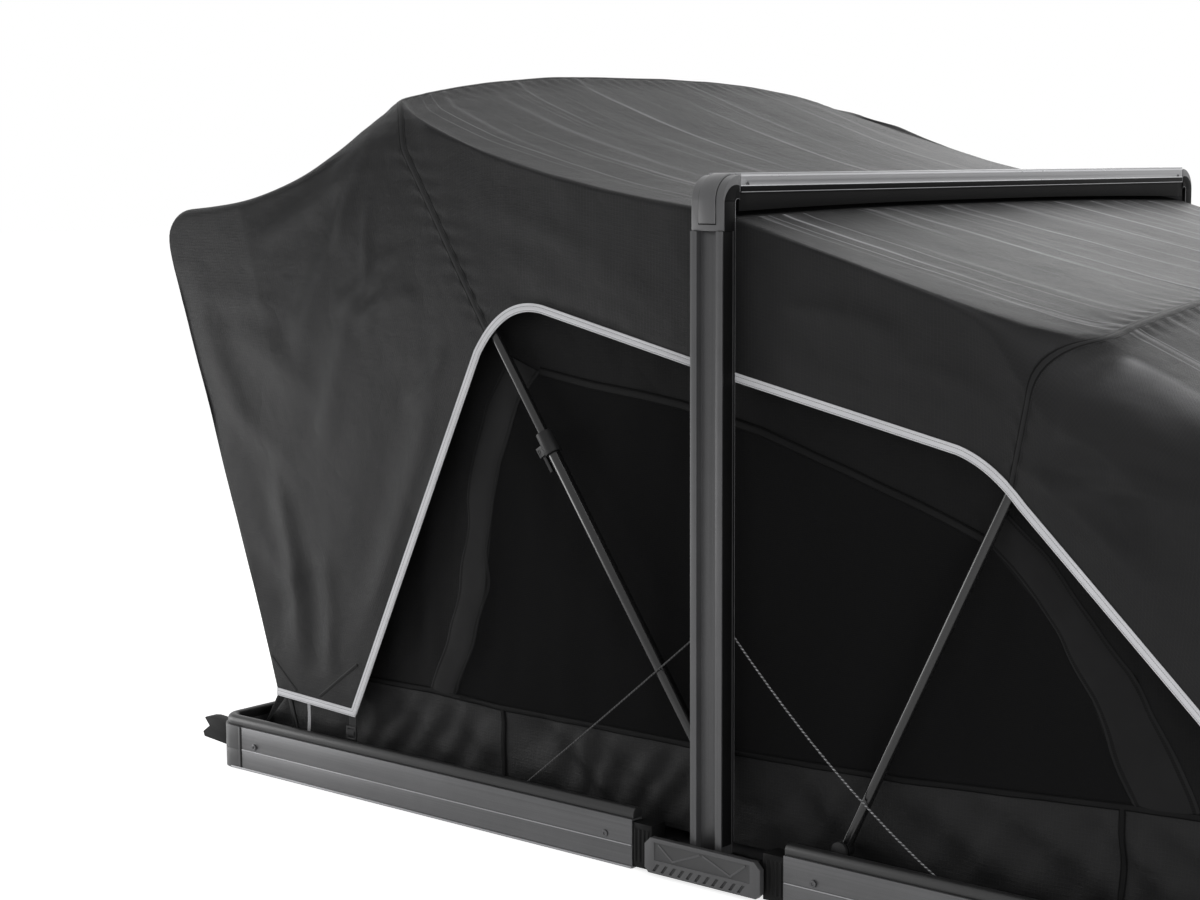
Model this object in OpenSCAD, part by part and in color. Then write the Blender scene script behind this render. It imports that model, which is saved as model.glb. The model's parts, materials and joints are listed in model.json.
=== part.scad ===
// Book-fold roof top tent, open: two aluminium trays on a hinged spine,
// a rigid hoop on the spine, folding bows, a rain fly and an inner tent.
// X runs along the length with the hoop at 0, Y across, Z up from the ground.

/* [Trays] */
// Width over the side rails
tent_w = 1600; // [1500:10:1700]
// Length from the hoop's middle to the outer end of a tray
half_len = 1210; // [1190:5:1230]
// Height of the extruded wall
wall_h = 84; // [80:1:88]
// Height to the top of the rim seal
rim_h = 102; // [100:1:106]
// Thickness of the extruded wall
wall_t = 26; // [24:1:28]
// Outer radius of the corner mouldings
corner_r = 40; // [36:1:46]
// Leg of the corner mouldings from the outer corner
corner_leg = 68; // [62:1:74]
// Thickness of the floor panel
floor_t = 24; // [22:1:26]
// Distance of the rail ends from the hoop's middle
rail_gap = 155; // [150:1:165]

/* [Spine and hoop] */
// Height of the two fold axes
pivot_z = 41; // [38:1:44]
// Hoop width along the tent
hoop_d = 64; // [60:1:68]
// Hoop thickness
hoop_t = 30; // [28:1:31]
// Height of the hoop's top face
hoop_top = 1150; // [1130:1:1160]
// Outer radius of the hoop's elbows
elbow_r = 44; // [40:1:46]
// Leg of the hoop's elbows down the uprights
elbow_leg = 90; // [85:1:100]
// Leg of the hoop's elbows along the crossbar
elbow_in = 48; // [47:1:54]
// Depth of the channel in the hoop's outer face
mouth_t = 13; // [12:0.5:14]
// Thickness of the hinge link plates
plate_t = 8; // [6:0.5:9]
// Radius of the fold pins
pin_r = 8; // [7:0.5:9]

/* [Bows] */
// Distance of the bow legs from the tray wall's inner face
leg_gap = 24; // [23:1:26]
// Radius of the bow tubes
bow_r = 9; // [8:0.5:9]
// Height of the main bow's pivots on the hoop
main_z = 140; // [135:1:150]
// Lean of the main bow from upright, in degrees
main_lean = 34.4; // [33:0.1:35.5]
// Length of the main bow from pivot to crown
main_len = 1418; // [1405:1:1425]
// Length of the main bow's lower legs
lower_len = 676; // [660:1:690]
// Distance of the front bow's pivots from the hoop
front_x = 238; // [232:1:250]
// Height of the front bow's pivots
front_z = 100; // [98:1:102]
// Lean of the front bow from upright, in degrees
front_lean = 25.9; // [25:0.1:27]
// Length of the front bow from pivot to crown
front_len = 915; // [900:1:918]
// Rise of the bows between corner and crown
bow_rise = 60; // [50:1:65]
// Bend radius of the bow corners
bow_bend = 110; // [100:1:120]
// Radius of the eave rods
rod_r = 4.5; // [4:0.5:5]

/* [Fabric] */
// Thickness of the cloth solids
cloth_t = 3; // [2:0.5:3]
// Distance of the fly's side panels from the tray wall's inner face
fly_gap = 8.5; // [7:0.5:8.5]
// Reach of the eaves past the tray's outer end
eave_reach = 135; // [120:1:145]
// Height of the eave over the entrance
eave_z = 1055; // [1045:1:1065]
// Height of the eave at the head end
head_z = 640; // [630:1:650]
// Height of the fly's roof edge at the hoop
roof_z = 1092; // [1086:1:1098]
// Height of the fly's lower corners
flap_z = 160; // [155:1:175]
// Width of the edge binding
bind_w = 13; // [10:1:15]
// Distance of the inner tent's side walls from the tray wall's inner face
inner_gap = 42; // [41:1:44]
// Thickness of the mattress pads
pad_t = 40; // [34:1:42]
// Height of the cord eyes on the hoop
cord_z = 440; // [420:1:460]
// Distance of the cord anchors from the hoop
cord_x = 450; // [430:1:470]
// Radius of the tension cords
cord_r = 2; // [1.5:0.25:2.5]

/* [Hidden] */
$fn = 48;
half_w = tent_w / 2;
lip_h = 3;
lip_w = 14;
floor_top = lip_h + floor_t;
fold_gap = 2;
pivot_x = (2 * (rim_h - pivot_z) + hoop_d + fold_gap) / 2;
run = 0.05;
clear = 0.4;
bead_in = 4;
hoop_in = half_w - hoop_t;
tray_in = half_w - wall_t;
block_in = half_w - 38;
leg_y = tray_in - leg_gap;
fly_y = tray_in - fly_gap;
inner_y = tray_in - inner_gap;
eave_x = half_len + eave_reach;
channel_y = half_w / 2;
channel_w = 40;
channel_h = 20;
slot_w = 12;
nut_w = 30;
hook_len = 96;
hook_w = 30;
cover_t = 3;
screw_in = 18;
plate_y = half_w + 1;
main_bore = bow_r + 0.06;
leg_r = bow_r + 2;
slide_len = main_len - (hoop_top - hoop_t - main_z - bow_r - 10);
upper_foot = lower_len - 64;
ridge_x = main_len * sin(main_lean) - 6;
ridge_z = main_z + main_len * cos(main_lean) - 29;
brow_x = front_x + front_len * sin(front_lean) - 2;
brow_z = front_z + front_len * cos(front_lean) - 38;
hem_z = 60;
cloth_cols = 20;
door_rod_x = half_len - 180;
head_rod_x = half_len - 125;
door_hook_x = half_len - 348;
head_hook_x = half_len - 85;
door_open_z = eave_z - 335;
head_open_z = head_z - 240;
aluminium = [0.36, 0.36, 0.37];
black = [0.06, 0.06, 0.065];
charcoal = [0.19, 0.19, 0.2];

// Both sides of the tent: the near side has negative Y.
module far() { mirror([0, 1, 0]) children(); }
module both() { children(); far() children(); }
// The flip tray is the base tray seen in a mirror at the hoop.
module flip() { mirror([1, 0, 0]) children(); }

// Wall section: the first axis runs inward from the outer face, the second up.
module wall_section() {
  difference() {
    union() {
      square([wall_t, wall_h]);
      square([wall_t + lip_w, lip_h]);
    }
    translate([3, 3]) square([wall_t - 6, wall_h - 6]);
    translate([-1, 38]) square([2.4, 3]);
  }
}

module bead_section() {
  r = (wall_t - bead_in) / 2;
  translate([bead_in, wall_h]) square([2 * r, rim_h - wall_h - r]);
  intersection() {
    translate([bead_in + r, rim_h - r]) circle(r);
    translate([bead_in, rim_h - r]) square([2 * r, r]);
  }
}

// A section carried along X on the near side, from x0 to x1.
module along_x(x0, x1) {
  translate([x0, -half_w, 0]) rotate([90, 0, 90]) linear_extrude(x1 - x0) children();
}

// A section carried along Y at the outer end of the base tray, from y0 to y1.
module along_y(y0, y1) {
  translate([-half_len, y1, 0]) rotate([90, 0, 0]) linear_extrude(y1 - y0) children();
}

// A section carried round the near outer corner of the base tray.
module round_corner() {
  translate([corner_r - half_len, corner_r - half_w, 0]) rotate([0, 0, 180])
    rotate_extrude(angle = 90) translate([corner_r, 0]) mirror([1, 0]) children();
}

module side_rail() {
  color(aluminium) along_x(corner_leg - half_len + 0.5, -rail_gap) wall_section();
}

module end_rail() {
  color(aluminium) along_y(corner_leg - half_w + 0.5, half_w - corner_leg - 0.5) wall_section();
}

module corner_piece() {
  color([0.2, 0.2, 0.21]) {
    round_corner() wall_section();
    along_x(corner_r - half_len, corner_leg - half_len) wall_section();
    along_y(corner_r - half_w, corner_leg - half_w) wall_section();
  }
}

module rim_seal() {
  color(black) {
    both() along_x(corner_r - half_len, -rail_gap) bead_section();
    both() round_corner() bead_section();
    along_y(corner_r - half_w, half_w - corner_r) bead_section();
  }
}

// Floor panel with rounded outer corners and a tongue between the hinge blocks.
module tray_floor() {
  r = corner_r - wall_t + 0.5;
  x0 = wall_t - half_len;
  translate([0, 0, lip_h]) linear_extrude(floor_t) {
    translate([x0 + r, -tray_in]) square([-rail_gap - x0 - r, 2 * tray_in]);
    translate([x0, r - tray_in]) square([r, 2 * (tray_in - r)]);
    for (s = [-1, 1]) translate([x0 + r, s * (tray_in - r)]) circle(r);
    translate([-rail_gap, 5 - block_in]) square([rail_gap - pivot_x - 3, 2 * block_in - 10]);
  }
}

// Block at the end of a side rail that carries one fold axis.
module hinge_block() {
  color(black) difference() {
    union() {
      translate([-rail_gap, -half_w + 2, 4]) cube([rail_gap - pivot_x - 20, 36, wall_h - 8]);
      translate([-pivot_x - 24, -half_w + 2, pivot_z - 14]) cube([24, 36, 28]);
      translate([-pivot_x, -half_w + 2, pivot_z]) rotate([-90, 0, 0]) cylinder(r = 15, h = 36);
      for (i = [0 : 3])
        translate([-rail_gap + 4 + 9 * i, -half_w + 0.6, 14]) cube([4, 2, wall_h - 28]);
    }
    translate([-pivot_x, -half_w, pivot_z]) rotate([-90, 0, 0])
      cylinder(r = pin_r + run, h = 60);
  }
}

module rail_screws() {
  color([0.5, 0.5, 0.5]) both() for (x = [rail_gap + 58, half_len - corner_leg - 40])
    translate([-x, -half_w, 50]) rotate([90, 0, 0]) difference() {
      cylinder(r = 6, h = 2.4);
      translate([0, 0, 1]) cylinder(r = 2.6, h = 3, $fn = 6);
    }
}

// Cord anchors, rod sockets, strap hooks and the tracks that hold the inner tent's hem.
module tray_anchors(socket_x, hook_x) {
  color(black) both() {
    translate([-cord_x - 9, -tray_in, wall_h - 34]) cube([18, 4, 30]);
    translate([-cord_x, -tray_in + 8, wall_h - 12]) rotate([90, 0, 0]) cylinder(r = 5, h = 8);
    translate([-hook_x - 12, -tray_in, wall_h - 40]) cube([24, tray_in - fly_y - 0.3, 34]);
    difference() {
      translate([-socket_x - 14, -tray_in, 40]) cube([28, 34, wall_h - 42]);
      translate([-socket_x, 3 - leg_y, 50]) cylinder(r = rod_r + clear, h = 60);
      translate([-socket_x - 20, 3 - leg_y - rod_r - clear, 50])
        cube([20, 2 * (rod_r + clear), 60]);
    }
    translate([wall_t + 60 - half_len, -inner_y - 2, floor_top])
      cube([half_len - wall_t - 60 - rail_gap - 10, 7, hem_z - floor_top - 0.3]);
  }
}

// Soft pad: square corners drawn in, crowned top, pinched round its edge.
module pad(x0, x1, half, z0, t) {
  n = 10;
  m = 12;
  function bow(u) = 1 - pow(abs(2 * u - 1), 6);
  function px(i, j) = (x0 + x1) / 2 + (x1 - x0) / 2 * (2 * i / n - 1) * (1 - 0.006 * bow(j / m));
  function py(i, j) = half * (2 * j / m - 1) * (1 - 0.006 * bow(i / n));
  function edge(i, j) = i == 0 || j == 0 || i == n || j == m;
  function top(i, j) = z0 + t * (edge(i, j) ? 0.7 : 0.86 + 0.14 * bow(i / n) * bow(j / m));
  function low(i, j) = z0 + (edge(i, j) ? 0.25 * t : 0);
  w = m + 1;
  count = (n + 1) * w;
  rim = concat([for (j = [0 : m]) j], [for (i = [1 : n]) i * w + m],
    [for (j = [1 : m]) n * w + m - j], [for (i = [1 : n - 1]) (n - i) * w]);
  polyhedron(
    concat([for (i = [0 : n], j = [0 : m]) [px(i, j), py(i, j), top(i, j)]],
      [for (i = [0 : n], j = [0 : m]) [px(i, j), py(i, j), low(i, j)]]),
    concat(
      [for (i = [0 : n - 1], j = [0 : m - 1], f = [0, 1]) f == 0
        ? [i * w + j, i * w + j + 1, (i + 1) * w + j + 1]
        : [i * w + j, (i + 1) * w + j + 1, (i + 1) * w + j]],
      [for (i = [0 : n - 1], j = [0 : m - 1], f = [0, 1]) f == 0
        ? [count + i * w + j, count + (i + 1) * w + j + 1, count + i * w + j + 1]
        : [count + i * w + j, count + (i + 1) * w + j, count + (i + 1) * w + j + 1]],
      [for (k = [0 : len(rim) - 1], f = [0, 1]) let (a = rim[k], b = rim[(k + 1) % len(rim)])
        f == 0 ? [b, a, count + a] : [b, count + a, count + b]]));
}

module tray_pad() {
  color([0.3, 0.3, 0.31])
    pad(wall_t + 30 - half_len, -rail_gap - 20, inner_y - 8, floor_top + clear, pad_t);
}

module base_floor() {
  color([0.3, 0.3, 0.3]) difference() {
    tray_floor();
    both() translate([-half_len, -channel_y - channel_w / 2, -1])
      cube([half_len - rail_gap, channel_w, channel_h + 1]);
  }
}

// Slotted channels let into the underside of the base, for a roof rack's clamps.
module mounting_channels() {
  x0 = wall_t + lip_w - half_len;
  color([0.55, 0.55, 0.56]) both() translate([0, -channel_y, 0]) difference() {
    translate([x0, -channel_w / 2, 0]) cube([-x0 - rail_gap, channel_w, channel_h]);
    translate([x0 - 1, -slot_w / 2, -1]) cube([half_len, slot_w, 6]);
    translate([x0 - 1, -nut_w / 2, 4]) cube([half_len, nut_w, 10]);
    translate([-rail_gap - 80, -nut_w / 2, -1]) cube([46, nut_w, 6]);
  }
}

module base_rail_near() { side_rail(); }
module base_rail_far() { far() side_rail(); }
module base_end_rail() { end_rail(); }
module base_corner_near() { corner_piece(); }
module base_corner_far() { far() corner_piece(); }
module base_rim_seal() { rim_seal(); }
module base_hinge_block_near() { hinge_block(); }
module base_hinge_block_far() { far() hinge_block(); }

// Fishtail bracket on the outer end, where the ladder hooks on.
module end_bracket() {
  color(black) translate([-half_len, corner_r - half_w + 2 + hook_w, 0]) rotate([90, 0, 0])
    linear_extrude(hook_w) offset(r = 2) offset(delta = -2)
      polygon([[0, 24], [4 - hook_len, 32], [-hook_len, 42], [20 - hook_len, 56],
        [5 - hook_len, 72], [24 - hook_len, 74], [0, 70]]);
}

module base_mattress() { tray_pad(); }
module base_screws() { rail_screws(); }
module base_anchors() { tray_anchors(door_rod_x, door_hook_x); }

// Floor of the spine, with tabs that carry the uprights.
module spine_floor() {
  x = pivot_x;
  color([0.3, 0.3, 0.3]) {
    translate([-x, 5 - block_in, lip_h]) cube([2 * x, 2 * block_in - 10, floor_t]);
    both() translate([-60, -half_w, lip_h]) cube([120, half_w - block_in + 5, floor_t]);
  }
}

module spine_mattress() {
  color([0.3, 0.3, 0.31])
    pad(12 - pivot_x, pivot_x - 12, inner_y - 8, floor_top + clear, pad_t - 2);
}

// Link plate between the two fold axes. Its outer face covers the pins and has a braced panel
// over a row of slanted teeth.
module hinge_plate() {
  w = pivot_x + 24;
  teeth = 11;
  brace = [[30 - w, 55], [-w / 2, 33], [-4, 55], [4, 55], [w / 2, 33], [w - 30, 55]];
  color([0.24, 0.24, 0.25]) {
    difference() {
      union() {
        translate([0, -plate_y, 0]) rotate([90, 0, 0]) linear_extrude(plate_t + cover_t)
          polygon([[-w, 14], [8 - w, 6], [w - 8, 6], [w, 14], [w, 54], [w - 12, 66], [12 - w, 66],
            [-w, 54]]);
        translate([-58, -plate_y, 8]) cube([116, 1, 56]);
      }
      translate([20 - w, -plate_y - plate_t - 20 - cover_t / 2, 29])
        cube([2 * w - 40, 20, 30]);
      for (i = [0 : teeth - 1]) translate([16 - w + 2 * (w - 22) / teeth * i, -plate_y - plate_t, 0])
        rotate([90, 0, 0]) linear_extrude(20) polygon([[0, 10], [6, 10], [16, 23], [10, 23]]);
      for (s = [-1, 1]) translate([s * pivot_x, 0, pivot_z]) rotate([90, 0, 0])
        cylinder(r = pin_r + run, h = plate_y + plate_t);
    }
    translate([0, -plate_y - plate_t - cover_t / 2, 0]) rotate([90, 0, 0]) linear_extrude(cover_t / 2)
      for (i = [0, 1, 3, 4]) hull() for (p = [brace[i], brace[i + 1]]) translate(p) circle(1.6);
  }
}

module hinge_plate_near() { hinge_plate(); }
module hinge_plate_far() { far() hinge_plate(); }

module hinge_pins() {
  color([0.45, 0.45, 0.46]) both() for (s = [-1, 1])
    translate([s * pivot_x, -block_in, pivot_z]) rotate([90, 0, 0])
      cylinder(r = pin_r, h = plate_y + plate_t - clear - block_in);
}

// Hoop section: the first axis along the tent, the second inward from the outer face.
module hoop_section(notch) {
  d = hoop_d / 2;
  difference() {
    translate([-d, 0]) square([hoop_d, hoop_t]);
    translate([-19, -1]) square([38, mouth_t + 1]);
    if (notch) for (s = [-1, 1]) translate([s * d - 2, 3]) square([4, hoop_t - 6]);
    translate([6 - d, mouth_t + 3]) square([hoop_d - 12, hoop_t - mouth_t - 7]);
  }
}

module upright() {
  color(aluminium) translate([0, -half_w, floor_top])
    linear_extrude(hoop_top - elbow_leg - floor_top) hoop_section(true);
}

module hoop_upright_near() { upright(); }
module hoop_upright_far() { far() upright(); }

// Turns a hoop section round the near upper corner.
module elbow_turn() {
  translate([0, elbow_r - half_w, hoop_top - elbow_r]) rotate([90, 0, -90])
    rotate_extrude(angle = 90) translate([elbow_r, 0]) children();
}

// Moulded elbow with a raised pad that fills the channel's mouth.
module elbow() {
  d = hoop_d / 2;
  leg = elbow_leg - elbow_r;
  reach = elbow_in - elbow_r;
  color([0.2, 0.2, 0.21]) {
    elbow_turn() translate([-hoop_t, -d]) square([hoop_t - 3, hoop_d]);
    elbow_turn() translate([-4, 16 - d]) square([4, hoop_d - 32]);
    translate([-d, 3 - half_w, hoop_top - elbow_leg]) cube([hoop_d, hoop_t - 3, leg]);
    translate([16 - d, -half_w, hoop_top - elbow_leg + 12]) cube([hoop_d - 32, 4, leg - 12]);
    translate([-d, elbow_r - half_w, hoop_top - hoop_t]) cube([hoop_d, reach, hoop_t - 3]);
  }
}

module hoop_elbow_near() { elbow(); }
module hoop_elbow_far() { far() elbow(); }

module hoop_crossbar() {
  span = tent_w - 2 * elbow_in;
  color([0.5, 0.5, 0.51]) difference() {
    translate([0, -span / 2, hoop_top]) rotate([-90, 0, 0]) linear_extrude(span)
      hoop_section(false);
    both() translate([hoop_d / 2 - 2, screw_in - span / 2, hoop_top - hoop_t / 2 - 3])
      rotate([0, 90, 0]) cylinder(r = 4 + run, h = 5);
  }
}

// Rubber strips let flush into the edges of the uprights.
module hoop_seals() {
  color(black) both() for (s = [-1, 1])
    translate([s * (hoop_d / 2 - 1) - 1, 3 - half_w, floor_top + 45])
      cube([2, hoop_t - 6, hoop_top - elbow_leg - floor_top - 45]);
}

module hoop_screws() {
  span = tent_w - 2 * elbow_in;
  color([0.6, 0.6, 0.6]) both()
    translate([hoop_d / 2 - 2, screw_in - span / 2, hoop_top - hoop_t / 2 - 3]) rotate([0, 90, 0])
      difference() {
        cylinder(r = 4, h = 2.5);
        translate([0, 0, 1]) cylinder(r = 1.8, h = 3, $fn = 6);
      }
}

// Stub pins for the main bow and eyes for the cords, on the inner faces of the uprights.
module bow_pivots() {
  color(black) both() {
    translate([0, -hoop_in, main_z]) rotate([-90, 0, 0]) {
      cylinder(r = 18, h = 4);
      cylinder(r = 9, h = hoop_in - leg_y - 9);
      cylinder(r = 5, h = hoop_in - leg_y + 12);
      translate([0, 0, hoop_in - leg_y + 9]) cylinder(r = 8, h = 4);
    }
    translate([0, -hoop_in, cord_z]) rotate([-90, 0, 0]) {
      cylinder(r = 8, h = 1.5);
      cylinder(r = 4, h = 4);
    }
  }
}

module flip_floor() { color([0.3, 0.3, 0.3]) flip() tray_floor(); }
module flip_rail_near() { flip() side_rail(); }
module flip_rail_far() { flip() far() side_rail(); }
module flip_end_rail() { flip() end_rail(); }
module flip_corner_near() { flip() corner_piece(); }
module flip_corner_far() { flip() far() corner_piece(); }
module flip_rim_seal() { flip() rim_seal(); }
module flip_hinge_block_near() { flip() hinge_block(); }
module flip_hinge_block_far() { flip() far() hinge_block(); }
module flip_mattress() { flip() tray_pad(); }
module flip_screws() { flip() rail_screws(); }
module flip_anchors() { flip() tray_anchors(head_rod_x, head_hook_x); }

// Screwed brackets with the front bow's stub pins.
module front_feet() {
  color(black) both() {
    translate([front_x - 18, -tray_in, floor_top + 20]) cube([36, 6, wall_h - floor_top - 20]);
    translate([front_x - 14, -tray_in + 6, floor_top + 30])
      cube([28, 6, front_z - floor_top - 30]);
    translate([front_x, -tray_in + 6, front_z]) rotate([-90, 0, 0]) {
      cylinder(r = 14, h = 6);
      cylinder(r = 5, h = tray_in - leg_y + 6);
      translate([0, 0, tray_in - leg_y + 3]) cylinder(r = 8, h = 4);
    }
  }
}

// Places a bow drawn upright, its pivots at the origin.
module on_main() { translate([0, 0, main_z]) rotate([0, -main_lean, 0]) children(); }
module on_front() { translate([front_x, 0, front_z]) rotate([0, front_lean, 0]) children(); }

// Tube arch of one radius: legs, corner bends and a crowned top, joined by ferrules.
module arch(r, z0, crown, rise, bend, half) {
  flat = half - bend;
  sweep = 2 * atan(rise / flat);
  big = bend + flat / sin(sweep);
  bend_z = crown - rise - bend;
  short = sweep - asin(3 / big);
  both() translate([0, -half, z0]) cylinder(r = r, h = bend_z - z0);
  both() translate([0, bend - half, bend_z]) rotate([90, 0, -90])
    rotate_extrude(angle = 90 - sweep) translate([bend, 0]) circle(r);
  both() translate([0, -flat - bend * sin(sweep), bend_z + bend * cos(sweep)])
    rotate([sweep - 90, 0, 0]) translate([0, 0, -12]) cylinder(r = r + 1.2, h = 24);
  translate([0, 0, crown - big]) rotate([90, 0, 90]) rotate([0, 0, 90 - short])
    rotate_extrude(angle = 2 * short, $fn = 240) translate([big, 0]) circle(r);
}

// Eye at the foot of a bow leg, on the near side.
module foot_eye(bore) {
  difference() {
    union() {
      translate([0, -leg_y - 8, 0]) rotate([-90, 0, 0]) cylinder(r = 13, h = 16);
      translate([0, -leg_y, 0]) cylinder(r = leg_r, h = 60);
    }
    translate([0, -leg_y - 20, 0]) rotate([-90, 0, 0]) cylinder(r = bore, h = 40);
    translate([-20, -leg_y - 28, -20]) cube([40, 20, 32]);
    translate([-20, 8 - leg_y, -20]) cube([40, 20, 32]);
  }
}

module main_leg() {
  color(charcoal) on_main() {
    foot_eye(5 + run);
    difference() {
      translate([0, -leg_y, 60]) cylinder(r = leg_r, h = lower_len - 60);
      translate([0, -leg_y, 70]) cylinder(r = main_bore, h = lower_len);
    }
  }
}

module main_leg_near() { main_leg(); }
module main_leg_far() { far() main_leg(); }

// Clamp bodies at the top of the lower legs, with ears for the levers.
module clamp_collars() {
  color(black) on_main() both() difference() {
    union() {
      translate([0, -leg_y, lower_len - 26]) cylinder(r = leg_r + 4, h = 40);
      for (y = [-9, 5])
        translate([-leg_r - 14, -leg_y + y, lower_len - 22]) cube([18, 4, 18]);
    }
    translate([0, -leg_y, lower_len - 30]) cylinder(r = leg_r + run, h = 30);
    translate([0, -leg_y, lower_len - 1]) cylinder(r = main_bore, h = 40);
    translate([-leg_r - 8, -leg_y - 20, lower_len - 13]) rotate([-90, 0, 0])
      cylinder(r = 2.5, h = 40);
  }
}

module clamp_lever() {
  color([0.1, 0.1, 0.1]) on_main() {
    translate([-leg_r - 8, -leg_y - 9, lower_len - 13]) rotate([-90, 0, 0])
      cylinder(r = 2.5 - run, h = 18);
    translate([-leg_r - 8, -leg_y - 4.6, lower_len - 13]) rotate([-90, 0, 0])
      cylinder(r = 3.6, h = 9.2);
    translate([-leg_r - 11, -leg_y - 4.6, lower_len - 52]) cube([6, 9.2, 39]);
  }
}

module clamp_lever_near() { clamp_lever(); }
module clamp_lever_far() { far() clamp_lever(); }

module main_bow() {
  color(charcoal) on_main() difference() {
    arch(bow_r, upper_foot, main_len, bow_rise, bow_bend, leg_y);
    both() translate([0, -leg_y, upper_foot - 1])
      cylinder(r = bow_r - 1.5, h = main_len - bow_rise - bow_bend - upper_foot - 2);
  }
}

module front_bow() {
  color(charcoal) on_front() {
    both() difference() {
      translate([0, -leg_y - 8, 0]) rotate([-90, 0, 0]) cylinder(r = 13, h = 16);
      translate([0, -leg_y - 20, 0]) rotate([-90, 0, 0]) cylinder(r = 5 + run, h = 40);
    }
    difference() {
      arch(bow_r, 10, front_len, bow_rise, bow_bend, leg_y);
      both() translate([0, -leg_y - 20, 0]) rotate([-90, 0, 0]) cylinder(r = 12, h = 40);
    }
  }
}

// Spring rod that carries an eave, its feet in the tray's sockets.
module eave_rod(x, z, reach, top) {
  lean = atan2(reach - x, top - z);
  long = norm([reach - x, top - z]);
  color(black) translate([-x, 0, z]) rotate([0, -lean, 0])
    arch(rod_r, 0, long, 8, 50, leg_y - 3);
}

module eave_rod_door() { eave_rod(door_rod_x, 62, eave_x - 22, eave_z - 14); }
module eave_rod_head() { flip() eave_rod(head_rod_x, 62, eave_x - 22, head_z - 14); }

function mix(a, b, u) = a + (b - a) * u;
// Point at u on the arc from the first point to the third that leans to the second.
function turn(p, u) = mix(mix(p[0], p[1], u), mix(p[1], p[2], u), u);

// Fly, drawn for the end at negative X. A column runs from the lower edge up to the roof edge.
// Each half holds: shoulder start, shoulder, shoulder end, flap foot, flap corner, roof peak,
// roof edge at the eave, the hollow between peak and eave, and the sag between hoop and peak.
fly_shape_door = [[-370, 925], [-468, 947], [-535, 842], [-door_hook_x, flap_z - 5],
  [140 - half_len, flap_z + 5], [-ridge_x, ridge_z], [-eave_x, eave_z], 140, 24];
fly_shape_head = [[-380, 766], [-500, 738], [-570, 667], [102 - half_len, flap_z - 4],
  [45 - half_len, flap_z + 5], [-brow_x, brow_z], [-eave_x, head_z], 30, -5];
fly_edge_z = 842;
// The inner tent's hem is level, and its end wall leans in under the eave.
function inner_shape(peak) = [for (x = [370, 468, 535]) [-x, hem_z],
  [-door_hook_x, hem_z], [58 - half_len, hem_z], peak - [0, 48], [210 - half_len, 380], 0, 8];
inner_shape_door = inner_shape([20 - ridge_x, ridge_z]);
inner_shape_head = inner_shape([20 - brow_x, brow_z]);

function low_point(s, h, u) =
  u < 0.3 ? mix([0, h], s[0], u / 0.3)
  : u < 0.55 ? turn([s[0], s[1], s[2]], (u - 0.3) / 0.25)
  : u < 0.85 ? mix(s[2], s[3], (u - 0.55) / 0.3)
  : mix(s[3], s[4], (u - 0.85) / 0.15);
function top_point(s, h, u) =
  u < 0.5 ? let (v = u / 0.5) mix([0, h], s[5], v) - [0, 4 * s[8] * v * (1 - v)]
  : turn([s[5], mix(s[5], s[6], 0.2) - [0, s[7]], s[6]], (u - 0.5) / 0.5);

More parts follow.
